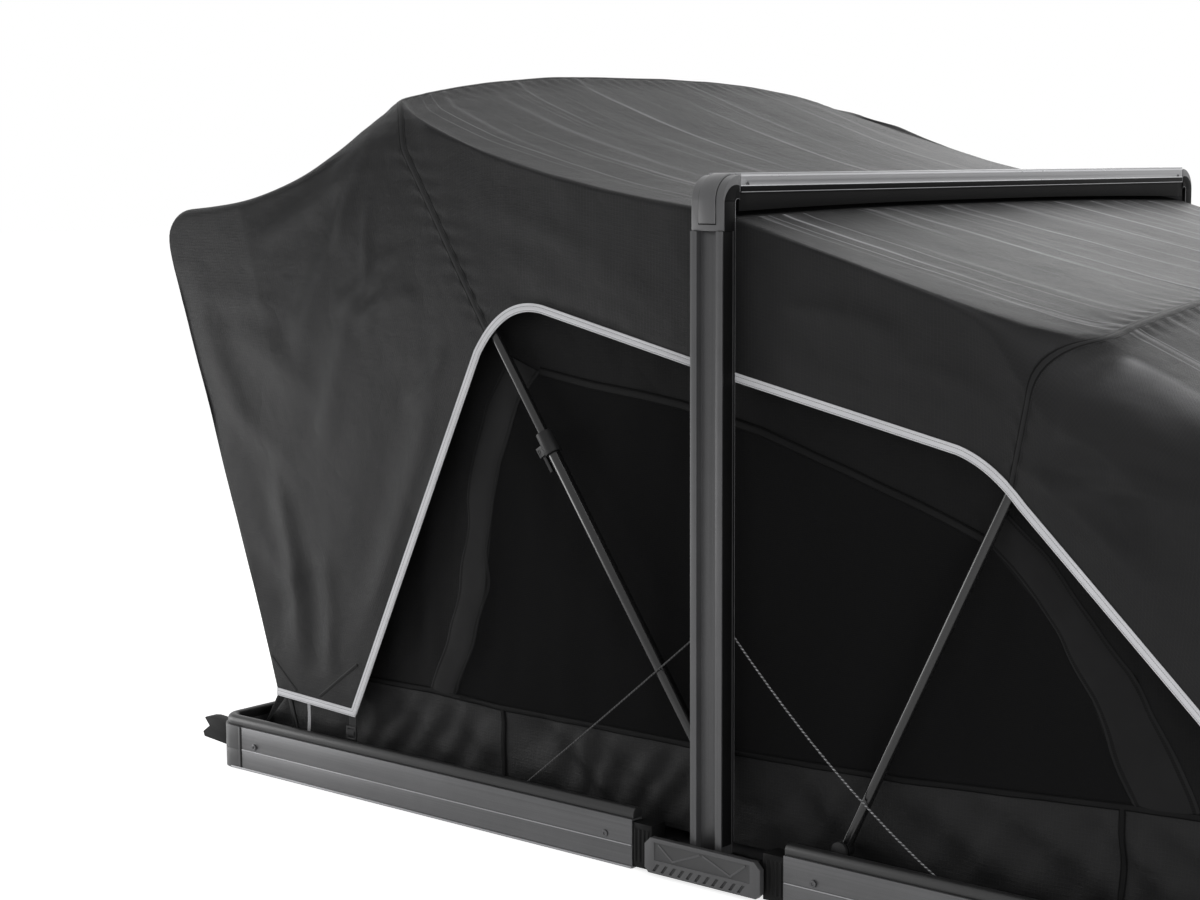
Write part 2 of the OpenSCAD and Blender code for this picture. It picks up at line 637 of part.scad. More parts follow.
// Cloth shell of one tent half: sides, roof and end wall with a raised lower edge.
module cloth(s, low_h, top_h, half, crown, bend, end_low, end_rise, cols) {
  rows = 3;
  arc = [22, 45, 68];
  spans = 8;
  tops = 2 * len(arc) + spans + 1;
  line = 2 * (rows + 1) + tops;
  function lowp(k) = low_point(s, low_h, k / cols);
  function topp(k) = top_point(s, top_h, k / cols);
  function wall(k, v) = let (p = mix(lowp(k), topp(k) - [0, bend(k / cols)], v / rows))
    [p[0], -half, p[1]];
  function over(k, m) = let (t = topp(k), bend = bend(k / cols))
    m < len(arc) ? [t[0], -half + bend * (1 - cos(arc[m])), t[1] - bend * (1 - sin(arc[m]))]
    : let (y = (2 * (m - len(arc)) / spans - 1))
      [t[0], (half - bend) * y, t[1] + crown(k / cols) * (1 - y * y)];
  function flipy(p) = [p[0], -p[1], p[2]];
  function sect(k, i) = i <= rows ? wall(k, i)
    : i >= line - rows - 1 ? flipy(wall(k, line - 1 - i))
    : let (m = i - rows - 1) m < len(arc) + spans + 1 ? over(k, m) : flipy(over(k, tops - 1 - m));
  function inward(i) = i <= rows ? [0, 1, 0] : i >= line - rows - 1 ? [0, -1, 0]
    : let (m = i - rows - 1) m < len(arc) ? [0, cos(arc[m]), -sin(arc[m])]
    : m > tops - 1 - len(arc) ? [0, -cos(arc[tops - 1 - m]), -sin(arc[tops - 1 - m])] : [0, 0, -1];
  function endp(v, m) = let (a = sect(cols, v), b = sect(cols, rows + m), y = sect(cols, rows + m)[1],
      c = 1 - pow(abs(y / half), 4), z0 = mix(a[2], end_low, end_rise * c),
      top = b[2], w = v / rows, z = mix(z0, top, w), q = (z - sect(cols, 0)[2]) / (top - sect(cols, 0)[2]))
    [mix(sect(cols, 0)[0], b[0], q), y, z];
  arch_n = (cols + 1) * line;
  ends = tops;
  function ai(k, i) = k * line + i;
  function ei(v, m) = m == 0 ? ai(cols, v) : m == ends + 1 ? ai(cols, line - 1 - v)
    : v == rows ? ai(cols, rows + m) : arch_n + v * ends + m - 1;
  count = arch_n + rows * ends;
  outer = concat([for (k = [0 : cols], i = [0 : line - 1]) sect(k, i)],
    [for (v = [0 : rows - 1], m = [1 : ends]) endp(v, m)]);
  inner = concat([for (k = [0 : cols], i = [0 : line - 1])
      sect(k, i) + cloth_t * (inward(i) + (k == cols ? [1, 0, 0] : [0, 0, 0]))],
    [for (v = [0 : rows - 1], m = [1 : ends]) endp(v, m) + [cloth_t, 0, 0]]);
  quads = concat([for (k = [0 : cols - 1], i = [0 : line - 2])
      [ai(k, i), ai(k, i + 1), ai(k + 1, i + 1), ai(k + 1, i)]],
    [for (v = [0 : rows - 1], m = [0 : ends]) [ei(v, m), ei(v + 1, m), ei(v + 1, m + 1), ei(v, m + 1)]]);
  rim = concat([for (i = [0 : line - 1]) ai(0, i)], [for (k = [1 : cols]) ai(k, line - 1)],
    [for (m = [1 : ends]) ei(0, ends + 1 - m)], [for (k = [0 : cols - 1]) ai(cols - k, 0)]);
  polyhedron(concat(outer, inner), concat(
    [for (q = quads, f = [0, 1]) f == 0 ? [q[0], q[2], q[1]] : [q[0], q[3], q[2]]],
    [for (q = quads, f = [0, 1]) f == 0 ? [count + q[0], count + q[1], count + q[2]]
      : [count + q[0], count + q[2], count + q[3]]],
    [for (k = [0 : len(rim) - 1], f = [0, 1]) let (a = rim[k], b = rim[(k + 1) % len(rim)])
      f == 0 ? [a, b, count + b] : [a, count + b, count + a]]), convexity = 8);
}

// Binding along the lower edge of one side panel, a strip just below the cloth.
module binding(s) {
  n = cloth_cols;
  function edge(k) = low_point(s, fly_edge_z, k / n);
  function fall(k) = let (d = edge(k) - (top_point(s, roof_z, k / n) - [0, fly_bend(k / n)]))
    d / norm(d);
  function row(k) = let (a = edge(k) + 0.3 * fall(k), b = edge(k) + bind_w * fall(k))
    [[a[0], -fly_y, a[1]], [b[0], -fly_y, b[1]], [b[0], cloth_t - fly_y, b[1]],
      [a[0], cloth_t - fly_y, a[1]]];
  pts = [for (k = [0 : n], p = row(k)) p];
  color([0.75, 0.75, 0.75]) both() polyhedron(pts, concat([[0, 1, 2], [0, 2, 3]],
    [for (k = [0 : n - 1], i = [0 : 3], f = [0, 1]) let (a = 4 * k + i, b = 4 * k + (i + 1) % 4)
      f == 0 ? [a, a + 4, b + 4] : [a, b + 4, b]],
    [[4 * n, 4 * n + 2, 4 * n + 1], [4 * n, 4 * n + 3, 4 * n + 2]]), convexity = 6);
}

function fly_crown(u) = lookup(u, [[0, 20], [0.5, 62], [1, 22]]);
// Radius between side and roof: tight inside the hoop, wider over the bows.
function fly_bend(u) = lookup(u, [[0, 28], [0.35, 34], [0.5, 56], [1, 50]]);
function inner_crown(u) = 12;
function inner_bend(u) = 70;

module fly_door_half() {
  color(charcoal) cloth(fly_shape_door, fly_edge_z, roof_z, fly_y,
    function (u) fly_crown(u), function (u) fly_bend(u), door_open_z, 1, cloth_cols);
}
module fly_head_half() {
  color(charcoal) flip() cloth(fly_shape_head, fly_edge_z, roof_z, fly_y,
    function (u) fly_crown(u), function (u) fly_bend(u), head_open_z, 1, cloth_cols);
}
module binding_door_half() { binding(fly_shape_door); }
module binding_head_half() { flip() binding(fly_shape_head); }
module inner_door_half() {
  color(black) cloth(inner_shape_door, hem_z, roof_z - 48, inner_y,
    function (u) inner_crown(u), function (u) inner_bend(u), hem_z, 0, cloth_cols / 2);
}
module inner_head_half() {
  color(black) flip() cloth(inner_shape_head, hem_z, roof_z - 48, inner_y,
    function (u) inner_crown(u), function (u) inner_bend(u), hem_z, 0, cloth_cols / 2);
}

// Straight round member between two points.
module rod(a, b, r) {
  d = b - a;
  translate(a) rotate([0, acos(d[2] / norm(d)), atan2(d[1], d[0])]) cylinder(r = r, h = norm(d));
}

// Tension cords from the trays to the eyes on the uprights.
module cords() {
  color(black) both()
    rod([-cord_x, -tray_in + 8.3 + cord_r, wall_h - 12], [-3, -tray_in + 8.3 + cord_r, cord_z], cord_r);
}

module cords_base() { cords(); }
module cords_flip() { flip() cords(); }

// Webbing straps with buckles that hold the flaps down to the trays.
module straps(x, top) {
  y = -fly_y;
  color(black) both() {
    translate([-x - 10, y, wall_h - 24]) cube([20, 1.6, top - wall_h + 24]);
    translate([-x - 13, y - 3, wall_h + 14]) cube([26, 3, 26]);
  }
}

module straps_base() { straps(door_hook_x, flap_z - 17.6); }
module straps_flip() { flip() straps(head_hook_x, flap_z - 15.6); }

base_floor();
mounting_channels();
base_rail_near();
base_rail_far();
base_end_rail();
base_corner_near();
base_corner_far();
base_rim_seal();
base_hinge_block_near();
base_hinge_block_far();
end_bracket();
base_mattress();
base_screws();
base_anchors();
spine_floor();
spine_mattress();
hinge_plate_near();
hinge_plate_far();
hinge_pins();
hoop_upright_near();
hoop_upright_far();
hoop_elbow_near();
hoop_elbow_far();
hoop_crossbar();
hoop_seals();
hoop_screws();
bow_pivots();
flip_floor();
flip_rail_near();
flip_rail_far();
flip_end_rail();
flip_corner_near();
flip_corner_far();
flip_rim_seal();
flip_hinge_block_near();
flip_hinge_block_far();
flip_mattress();
flip_screws();
flip_anchors();
front_feet();
main_leg_near();
main_leg_far();
clamp_collars();
main_bow();
clamp_lever_near();
clamp_lever_far();
front_bow();
eave_rod_door();
eave_rod_head();
fly_door_half();
fly_head_half();
binding_door_half();
binding_head_half();
inner_door_half();
inner_head_half();
cords_base();
cords_flip();
straps_base();
straps_flip();
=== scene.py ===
import json
import math

import bpy
import numpy as np
from mathutils import Matrix, Vector, noise
from mathutils.bvhtree import BVHTree


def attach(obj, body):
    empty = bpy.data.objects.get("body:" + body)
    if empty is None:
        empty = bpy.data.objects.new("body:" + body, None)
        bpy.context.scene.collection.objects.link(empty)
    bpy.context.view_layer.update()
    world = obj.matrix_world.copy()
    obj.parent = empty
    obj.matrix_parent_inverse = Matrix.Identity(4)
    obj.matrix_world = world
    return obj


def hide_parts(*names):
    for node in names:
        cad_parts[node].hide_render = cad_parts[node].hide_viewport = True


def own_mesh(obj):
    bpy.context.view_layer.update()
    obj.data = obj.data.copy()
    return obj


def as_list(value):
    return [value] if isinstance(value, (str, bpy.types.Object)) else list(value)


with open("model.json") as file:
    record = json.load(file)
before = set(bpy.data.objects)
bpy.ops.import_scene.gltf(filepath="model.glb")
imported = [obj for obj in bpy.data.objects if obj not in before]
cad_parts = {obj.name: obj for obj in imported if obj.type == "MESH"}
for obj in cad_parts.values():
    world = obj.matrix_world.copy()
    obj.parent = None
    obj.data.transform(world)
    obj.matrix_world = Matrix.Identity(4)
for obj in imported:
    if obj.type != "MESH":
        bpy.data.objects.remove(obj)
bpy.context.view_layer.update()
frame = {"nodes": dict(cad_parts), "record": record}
nodes = frame["nodes"]
scene = bpy.context.scene
print("frame loaded:", len(nodes), "nodes")


# Camera at the photograph's viewpoint
photoView = {"place": (2.2211, -3.6487, 1.1731), "yaw": 130.6, "pitch": -7.22, "roll": -0.28,
             "lens": 68.946, "sensor": 36.0}


def makeCamera(setup):
    data = bpy.data.cameras.new("photoCamera")
    data.lens = setup["lens"]
    data.sensor_width = setup["sensor"]
    camera = bpy.data.objects.new("photoCamera", data)
    scene.collection.objects.link(camera)
    yaw, pitch, roll = (math.radians(setup[key]) for key in ("yaw", "pitch", "roll"))
    ahead = Vector((math.cos(pitch) * math.cos(yaw), math.cos(pitch) * math.sin(yaw), math.sin(pitch)))
    right = ahead.cross(Vector((0, 0, 1))).normalized()
    up = right.cross(ahead)
    rolledRight = right * math.cos(roll) + up * math.sin(roll)
    rolledUp = up * math.cos(roll) - right * math.sin(roll)
    axes = Matrix((rolledRight, rolledUp, -ahead)).transposed().to_4x4()
    camera.matrix_world = Matrix.Translation(setup["place"]) @ axes
    scene.camera = camera


makeCamera(photoView)


# Shader helpers
def startMaterial(name):
    material = bpy.data.materials.new(name)
    material.use_nodes = True
    tree = material.node_tree
    tree.nodes.clear()
    output = tree.nodes.new("ShaderNodeOutputMaterial")
    shader = tree.nodes.new("ShaderNodeBsdfPrincipled")
    tree.links.new(shader.outputs[0], output.inputs[0])
    return material, tree, shader


def plug(tree, made, inputs):
    for key, value in inputs.items():
        if isinstance(value, bpy.types.NodeSocket):
            tree.links.new(value, made.inputs[key])
        else:
            made.inputs[key].default_value = value


def addNode(tree, kind, inputs=None, **settings):
    made = tree.nodes.new("ShaderNode" + kind)
    for key, value in settings.items():
        setattr(made, key, value)
    plug(tree, made, inputs or {})
    return made


def mathNode(tree, operation, a, b=0.0):
    return addNode(tree, "Math", {0: a, 1: b}, operation=operation).outputs[0]


# Sum of values, each times its share
def sumNode(tree, *parts):
    total = None
    for value, share in parts:
        part = mathNode(tree, "MULTIPLY", value, share)
        total = part if total is None else mathNode(tree, "ADD", total, part)
    return total


def awayNode(tree, value, middle):
    return mathNode(tree, "ABSOLUTE", mathNode(tree, "SUBTRACT", value, middle))


def noiseNode(tree, where, scale, detail=3.0, rough=0.5):
    inputs = {"Vector": where, "Scale": scale, "Detail": detail, "Roughness": rough}
    return addNode(tree, "TexNoise", inputs).outputs["Fac"]


# A wave texture at scale 1 turns 20 radians per metre
def bandNode(tree, where, period, direction, warp=0.0):
    inputs = {"Vector": where, "Scale": 2 * math.pi / 20 / period, "Distortion": warp}
    wave = addNode(tree, "TexWave", inputs, wave_type="BANDS", bands_direction=direction)
    return wave.outputs["Fac"]


def stretchNode(tree, where, scale):
    return addNode(tree, "Mapping", {"Vector": where, "Scale": scale}).outputs[0]


def rampNode(tree, value, stops):
    ramp = addNode(tree, "ValToRGB", {"Fac": value})
    for edge, (place, level) in zip(ramp.color_ramp.elements, stops):
        edge.position = place
        edge.color = (*grey(level), 1.0)
    return ramp.outputs["Color"]


def bumpNode(tree, height, strength, distance, before=None):
    inputs = {"Height": height, "Strength": strength, "Distance": distance}
    if before is not None:
        inputs["Normal"] = before
    return addNode(tree, "Bump", inputs).outputs[0]


def rangeNode(tree, value, low, high, start=0.0, end=1.0):
    inputs = {"Value": value, "From Min": start, "From Max": end, "To Min": low, "To Max": high}
    return addNode(tree, "MapRange", inputs).outputs[0]


slightBlue = 1.03


def grey(level):
    return (level, level, level * slightBlue)


def tintNode(tree, share, colour, level):
    inputs = {0: share, 6: colour, 7: (*grey(level), 1.0)}
    return addNode(tree, "Mix", inputs, data_type="RGBA").outputs[2]


def roughNode(tree, value, look, spread):
    return rangeNode(tree, value, look["rough"] - spread, look["rough"] + spread)


# Painted sheen: thin pale lines where stretched cloth has creased, each with its own place and strength
# across the roof
def streakLines(tree, look):
    lie = addNode(tree, "Attribute", attribute_name="roofLie").outputs["Vector"]
    along, across, shown = addNode(tree, "SeparateXYZ", {0: lie}).outputs
    wander = noiseNode(tree, stretchNode(tree, lie, look["wander"]), 1.0, 1.0)
    place = sumNode(tree, (across, look["perMetre"]), (wander, look["sway"]))
    band = mathNode(tree, "FLOOR", place)
    draw = addNode(tree, "TexWhiteNoise", {"W": band}, noise_dimensions="1D").outputs["Color"]
    centre, strength, phase = addNode(tree, "SeparateXYZ", {0: draw}).outputs
    away = awayNode(tree, mathNode(tree, "SUBTRACT", place, band), rangeNode(tree, centre, *look["centre"]))
    line = rangeNode(tree, away, 1.0, 0.0, end=look["perMetre"] * look["width"])
    broken = mathNode(tree, "MULTIPLY", along, look["broken"])
    spot = addNode(tree, "CombineXYZ", {0: broken, 1: band, 2: phase}).outputs[0]
    seen = rangeNode(tree, noiseNode(tree, spot, 1.0, 2.0), 0.0, 1.0, *look["patch"])
    seen = mathNode(tree, "MULTIPLY", seen, mathNode(tree, "POWER", strength, look["contrast"]))
    return mathNode(tree, "MULTIPLY", mathNode(tree, "MULTIPLY", line, seen), shown)


# Woven cloth: the UV map is in metres, so the threads follow the cut
clothGrain = {"warp": 0.6, "ribSharp": 14.0, "blotch": (2.6, 5.0, 0.6), "fuzz": (900.0, 2.0),
              "shares": (0.62, 0.38, 0.20), "ramp": (0.28, 0.72), "crinkle": (5.5, 3.0, 0.5),
              "crumple": ((14.0, 22.0, 30.0), 5.0, 0.62), "ruck": ((46.0, 60.0, 74.0), 4.0, 0.6),
              "crumpleDeep": 0.004, "crinkleDeep": 0.030, "ruckDeep": 0.0018, "ribBump": (0.5, 0.0003),
              "weaveBump": (0.6, 0.0003), "streakBump": (0.5, 0.0015), "wornPale": 18.0, "spread": 0.08,
              "sheenRough": 0.45}


def foldNode(tree, place, stretch, detail, rough):
    return noiseNode(tree, stretchNode(tree, place, stretch), 1.0, detail, rough)


def clothMaterial(name, look):
    material, tree, shader = startMaterial(name)
    coords = addNode(tree, "TexCoord")
    uv, place = coords.outputs["UV"], coords.outputs["Object"]
    warp, weft = (bandNode(tree, uv, look["thread"], direction, clothGrain["warp"]) for direction in "XY")
    weave = mathNode(tree, "MULTIPLY", warp, weft)
    ribs = [mathNode(tree, "POWER", bandNode(tree, uv, look["grid"], direction), clothGrain["ribSharp"])
            for direction in "XY"]
    ripstop = mathNode(tree, "MAXIMUM", *ribs)
    blotch = noiseNode(tree, place, *clothGrain["blotch"])
    fuzz = noiseNode(tree, uv, *clothGrain["fuzz"])
    tone = sumNode(tree, *zip((blotch, fuzz, ripstop), clothGrain["shares"]))
    colour = rampNode(tree, tone, zip(clothGrain["ramp"], look["tones"]))
    # Painted sheen: the crease attribute tints the colour towards pale on creases, along the roof edge and on
    # pull lines
    pale = clothGrain["wornPale"] * look["tones"][1]
    worn = addNode(tree, "Attribute", attribute_name="crease").outputs["Fac"]
    crumple = foldNode(tree, place, *clothGrain["crumple"])
    ruck = foldNode(tree, place, *clothGrain["ruck"])
    crinkle = awayNode(tree, noiseNode(tree, place, *clothGrain["crinkle"]), 0.5)
    bump = bumpNode(tree, crumple, look["crumple"], clothGrain["crumpleDeep"])
    bump = bumpNode(tree, crinkle, look["crumple"], clothGrain["crinkleDeep"], bump)
    bump = bumpNode(tree, ruck, look["crumple"], clothGrain["ruckDeep"], bump)
    bump = bumpNode(tree, ripstop, *clothGrain["ribBump"], bump)
    bump = bumpNode(tree, weave, *clothGrain["weaveBump"], bump)
    # Painted sheen: the crease lines are paler where the cloth is seen at a glancing angle
    if "streak" in look:
        streak = streakLines(tree, look["streak"])
        worn = mathNode(tree, "ADD", worn, mathNode(tree, "MULTIPLY", streak, look["streak"]["pale"]))
        glance = addNode(tree, "LayerWeight").outputs["Facing"]
        worn = mathNode(tree, "MULTIPLY", worn, rangeNode(tree, glance, *look["streak"]["glance"]))
        bump = bumpNode(tree, streak, *clothGrain["streakBump"], bump)
    plug(tree, shader, {"Base Color": tintNode(tree, worn, colour, pale), "Normal": bump,
                        "Roughness": roughNode(tree, blotch, look, clothGrain["spread"]),
                        "Specular IOR Level": look["gloss"], "Sheen Weight": look["sheen"],
                        "Sheen Roughness": clothGrain["sheenRough"]})
    return material


# Anodised extrusion: die lines along the bar, small scuffs and dust
metalGrain = {"lines": (4.0, 0.65), "scuff": (9.0, 6.0, 0.7), "dust": (420.0, 2.0), "dustSharp": 6.0,
              "shares": (0.55, 0.4, 0.5), "ramp": (0.3, 0.68), "lineBump": (0.12, 0.0004),
              "scuffBump": (0.05, 0.0008), "spread": 0.1, "gloss": 0.5}


def metalMaterial(name, look):
    material, tree, shader = startMaterial(name)
    place = addNode(tree, "TexCoord").outputs["Object"]
    lines = foldNode(tree, place, look["along"], *metalGrain["lines"])
    scuff = noiseNode(tree, place, *metalGrain["scuff"])
    dust = mathNode(tree, "POWER", noiseNode(tree, place, *metalGrain["dust"]), metalGrain["dustSharp"])
    tone = sumNode(tree, *zip((lines, scuff, dust), metalGrain["shares"]))
    bump = bumpNode(tree, lines, *metalGrain["lineBump"])
    plug(tree, shader, {"Base Color": rampNode(tree, tone, zip(metalGrain["ramp"], look["tones"])),
                        "Normal": bumpNode(tree, scuff, *metalGrain["scuffBump"], bump),
                        "Roughness": roughNode(tree, scuff, look, metalGrain["spread"]),
                        "Metallic": look["metal"],
                        "Specular IOR Level": look.get("gloss", metalGrain["gloss"])})
    return material


# Moulded plastic and rubber: fine grain, slight wear
mouldedGrain = {"grain": (3.0, 0.6), "wear": (11.0, 6.0, 0.65), "shares": (0.35, 0.65), "ramp": (0.3, 0.7),
                "bump": (0.3, 0.0004), "spread": 0.1}


def mouldedMaterial(name, look):
    material, tree, shader = startMaterial(name)
    place = addNode(tree, "TexCoord").outputs["Object"]
    grain = noiseNode(tree, place, look["grain"], *mouldedGrain["grain"])
    wear = noiseNode(tree, place, *mouldedGrain["wear"])
    tone = sumNode(tree, *zip((grain, wear), mouldedGrain["shares"]))
    colour = rampNode(tree, tone, zip(mouldedGrain["ramp"], look["tones"]))
    # Painted shade: the plate's sunk panel, between its raised braces, is darker
    if "relief" in look:
        sunk, raised, dark = look["relief"]
        across = mathNode(tree, "ABSOLUTE", addNode(tree, "SeparateXYZ", {0: place}).outputs[1])
        shade = rangeNode(tree, across, dark, 1.0, sunk, raised)
        colour = addNode(tree, "VectorMath", {0: colour, "Scale": shade}, operation="SCALE").outputs[0]
    plug(tree, shader, {"Base Color": colour, "Normal": bumpNode(tree, grain, *mouldedGrain["bump"]),
                        "Roughness": roughNode(tree, wear, look, mouldedGrain["spread"]),
                        "Specular IOR Level": look["gloss"]})
    return material


# Tape and webbing: UV runs along the tape in metres, and across it from 0 to 1
tapeGrain = {"dash": 0.3, "blotch": (14.0, 4.0), "ramp": (0.25, 0.75), "ribBump": (0.3, 0.0003),
             "rowBump": (-0.4, 0.0008), "threadBump": (0.5, 0.0006)}


def tapeMaterial(name, look):
    material, tree, shader = startMaterial(name)
    coords = addNode(tree, "TexCoord")
    uv, place = coords.outputs["UV"], coords.outputs["Object"]
    across = addNode(tree, "SeparateXYZ", {0: uv}).outputs[1]
    rib = bandNode(tree, uv, look["rib"], "X")
    dash = mathNode(tree, "GREATER_THAN", bandNode(tree, uv, look["stitch"], "X"), tapeGrain["dash"])
    rows = None
    for row in look["rows"]:
        line = mathNode(tree, "LESS_THAN", awayNode(tree, across, row), look["line"])
        rows = line if rows is None else mathNode(tree, "MAXIMUM", rows, line)
    thread = mathNode(tree, "MULTIPLY", rows, dash)
    blotch = noiseNode(tree, place, *tapeGrain["blotch"])
    colour = rampNode(tree, blotch, zip(tapeGrain["ramp"], look["tones"]))
    colour = tintNode(tree, rows, colour, look["seam"])
    colour = tintNode(tree, thread, colour, look["thread"])
    bump = bumpNode(tree, rib, *tapeGrain["ribBump"])
    bump = bumpNode(tree, rows, *tapeGrain["rowBump"], bump)
    bump = bumpNode(tree, thread, *tapeGrain["threadBump"], bump)
    plug(tree, shader, {"Base Color": colour, "Normal": bump,
                        "Roughness": look["rough"], "Specular IOR Level": look["gloss"]})
    return material


# Braided elastic: the UV map winds round the cord
braidGrain = {"fuzz": (260.0, 2.0), "ramp": (0.2, 0.62), "bump": (0.6, 0.0006)}


def braidMaterial(name, look):
    material, tree, shader = startMaterial(name)
    uv = addNode(tree, "TexCoord").outputs["UV"]
    strand = bandNode(tree, uv, look["strand"], "DIAGONAL")
    tone = mathNode(tree, "MULTIPLY", strand, noiseNode(tree, uv, *braidGrain["fuzz"]))
    plug(tree, shader, {"Base Color": rampNode(tree, tone, zip(braidGrain["ramp"], look["tones"])),
                        "Normal": bumpNode(tree, strand, *braidGrain["bump"]), "Roughness": look["rough"]})
    return material


# Painted sheen on the roof: spacing, width, paleness and glancing-angle range of the pale crease lines
roofCreases = {"perMetre": 30.0, "width": 0.0024, "wander": (1.6, 3.0, 0.0), "sway": 1.6, "broken": 2.2,
               "centre": (0.2, 0.8), "patch": (0.36, 0.62), "contrast": 2.0, "pale": 0.95,
               "glance": (0.30, 1.25)}
# Die lines along each axis of a bar
barX, barY, barZ = (1.5, 260.0, 260.0), (260.0, 1.5, 260.0), (260.0, 260.0, 1.5)
# Every finish under its maker; tones are its darkest and lightest grey
looks = {
    clothMaterial: {
        "flyCloth": {"thread": 0.0011, "grid": 0.0065, "tones": (0.013, 0.020), "rough": 0.42,
                     "crumple": 0.26, "gloss": 0.10, "sheen": 0.0, "streak": roofCreases},
        "innerCloth": {"thread": 0.0010, "grid": 0.0055, "tones": (0.0052, 0.0090), "rough": 0.62,
                       "crumple": 0.25, "gloss": 0.06, "sheen": 0.0},
        "skirtCloth": {"thread": 0.0010, "grid": 0.0055, "tones": (0.0085, 0.014), "rough": 0.48,
                       "crumple": 0.30, "gloss": 0.14, "sheen": 0.0},
        "windowNet": {"thread": 0.0016, "grid": 0.0032, "tones": (0.0070, 0.0105), "rough": 0.85,
                      "crumple": 0.12, "gloss": 0.03, "sheen": 0.0},
        "padCover": {"thread": 0.0013, "grid": 0.0075, "tones": (0.085, 0.125), "rough": 0.8,
                     "crumple": 0.2, "gloss": 0.2, "sheen": 0.1},
    },
    metalMaterial: {
        "railX": {"along": barX, "tones": (0.085, 0.125), "rough": 0.42, "metal": 0.55},
        "railY": {"along": barY, "tones": (0.085, 0.125), "rough": 0.42, "metal": 0.55},
        "railZ": {"along": barZ, "tones": (0.070, 0.105), "rough": 0.40, "metal": 0.55},
        "crossbar": {"along": barY, "tones": (0.27, 0.34), "rough": 0.36, "metal": 0.55},
        # Light metal for thin bars that stand in for highlights on edges and grooves: painted highlights
        "polish": {"along": barY, "tones": (0.52, 0.64), "rough": 0.30, "metal": 0.5},
        "brightX": {"along": barX, "tones": (0.26, 0.34), "rough": 0.35, "metal": 0.7},
        "brightY": {"along": barY, "tones": (0.26, 0.34), "rough": 0.35, "metal": 0.7},
        "brightZ": {"along": barZ, "tones": (0.16, 0.22), "rough": 0.35, "metal": 0.7},
        "channel": {"along": barX, "tones": (0.40, 0.50), "rough": 0.38, "metal": 0.85},
        "tube": {"along": (9.0, 9.0, 3.0), "tones": (0.007, 0.012), "rough": 0.22, "metal": 0.0,
                 "gloss": 0.45},
        "steel": {"along": (60.0, 60.0, 60.0), "tones": (0.30, 0.42), "rough": 0.3, "metal": 1.0},
        "screw": {"along": (60.0, 60.0, 60.0), "tones": (0.06, 0.12), "rough": 0.32, "metal": 0.9},
    },
    mouldedMaterial: {
        "corner": {"grain": 900.0, "tones": (0.060, 0.080), "rough": 0.45, "gloss": 0.4},
        "elbow": {"grain": 900.0, "tones": (0.092, 0.122), "rough": 0.38, "gloss": 0.5},
        "plate": {"grain": 1100.0, "tones": (0.095, 0.125), "rough": 0.5, "gloss": 0.4,
                  "relief": (0.8103, 0.8121, 0.5)},
        "moulded": {"grain": 1000.0, "tones": (0.010, 0.017), "rough": 0.48, "gloss": 0.25},
        # Near-black plastic; on the hinge blocks and the elbow pad lines it also stands for painted shade
        "blackBlock": {"grain": 1000.0, "tones": (0.003, 0.006), "rough": 0.55, "gloss": 0.12},
        "rubber": {"grain": 700.0, "tones": (0.012, 0.020), "rough": 0.38, "gloss": 0.45},
        "stripRubber": {"grain": 700.0, "tones": (0.003, 0.006), "rough": 0.6, "gloss": 0.06},
        "rod": {"grain": 1400.0, "tones": (0.012, 0.018), "rough": 0.4, "gloss": 0.4},
        "panel": {"grain": 240.0, "tones": (0.14, 0.20), "rough": 0.62, "gloss": 0.3},
    },
    tapeMaterial: {
        "binding": {"rib": 0.0012, "stitch": 0.0034, "rows": (0.22, 0.80), "line": 0.045,
                    "tones": (0.70, 0.82), "seam": 0.30, "thread": 0.55, "rough": 0.55, "gloss": 0.3},
        "seamBand": {"rib": 0.0011, "stitch": 0.0034, "rows": (0.19, 0.81), "line": 0.085,
                     "tones": (0.014, 0.021), "seam": 0.0012, "thread": 0.003, "rough": 0.45, "gloss": 0.1},
        "stitchLine": {"rib": 0.0011, "stitch": 0.0034, "rows": (0.5,), "line": 0.16,
                       "tones": (0.013, 0.020), "seam": 0.003, "thread": 0.007, "rough": 0.45, "gloss": 0.1},
        "innerBand": {"rib": 0.0011, "stitch": 0.0034, "rows": (0.08, 0.92), "line": 0.03,
                      "tones": (0.0095, 0.015), "seam": 0.0015, "thread": 0.006, "rough": 0.6, "gloss": 0.08},
        "innerSeam": {"rib": 0.0011, "stitch": 0.0034, "rows": (0.14, 0.86), "line": 0.07,
                      "tones": (0.006, 0.01), "seam": 0.0012, "thread": 0.004, "rough": 0.6, "gloss": 0.06},
        "webbing": {"rib": 0.0016, "stitch": 0.0040, "rows": (0.12, 0.88), "line": 0.05,
                    "tones": (0.012, 0.020), "seam": 0.008, "thread": 0.03, "rough": 0.7, "gloss": 0.2},
        "elastic": {"rib": 0.0012, "stitch": 0.0030, "rows": (0.3, 0.7), "line": 0.06,
                    "tones": (0.34, 0.46), "seam": 0.22, "thread": 0.5, "rough": 0.6, "gloss": 0.3},
    },
    braidMaterial: {
        "darkBraid": {"strand": 0.0035, "tones": (0.012, 0.10), "rough": 0.7},
        "lightBraid": {"strand": 0.0035, "tones": (0.05, 0.55), "rough": 0.7},
    },
}
finishes = {name: make(name, look) for make, group in looks.items() for name, look in group.items()}
print("materials:", len(finishes))


# Object helpers
def activate(piece):
    bpy.ops.object.select_all(action="DESELECT")
    piece.select_set(True)
    bpy.context.view_layer.objects.active = piece


def applyModifier(piece, kind, name, **settings):
    activate(piece)
    modifier = piece.modifiers.new(name, kind)
    for key, value in settings.items():
        setattr(modifier, key, value)
    bpy.ops.object.modifier_apply(modifier=name)


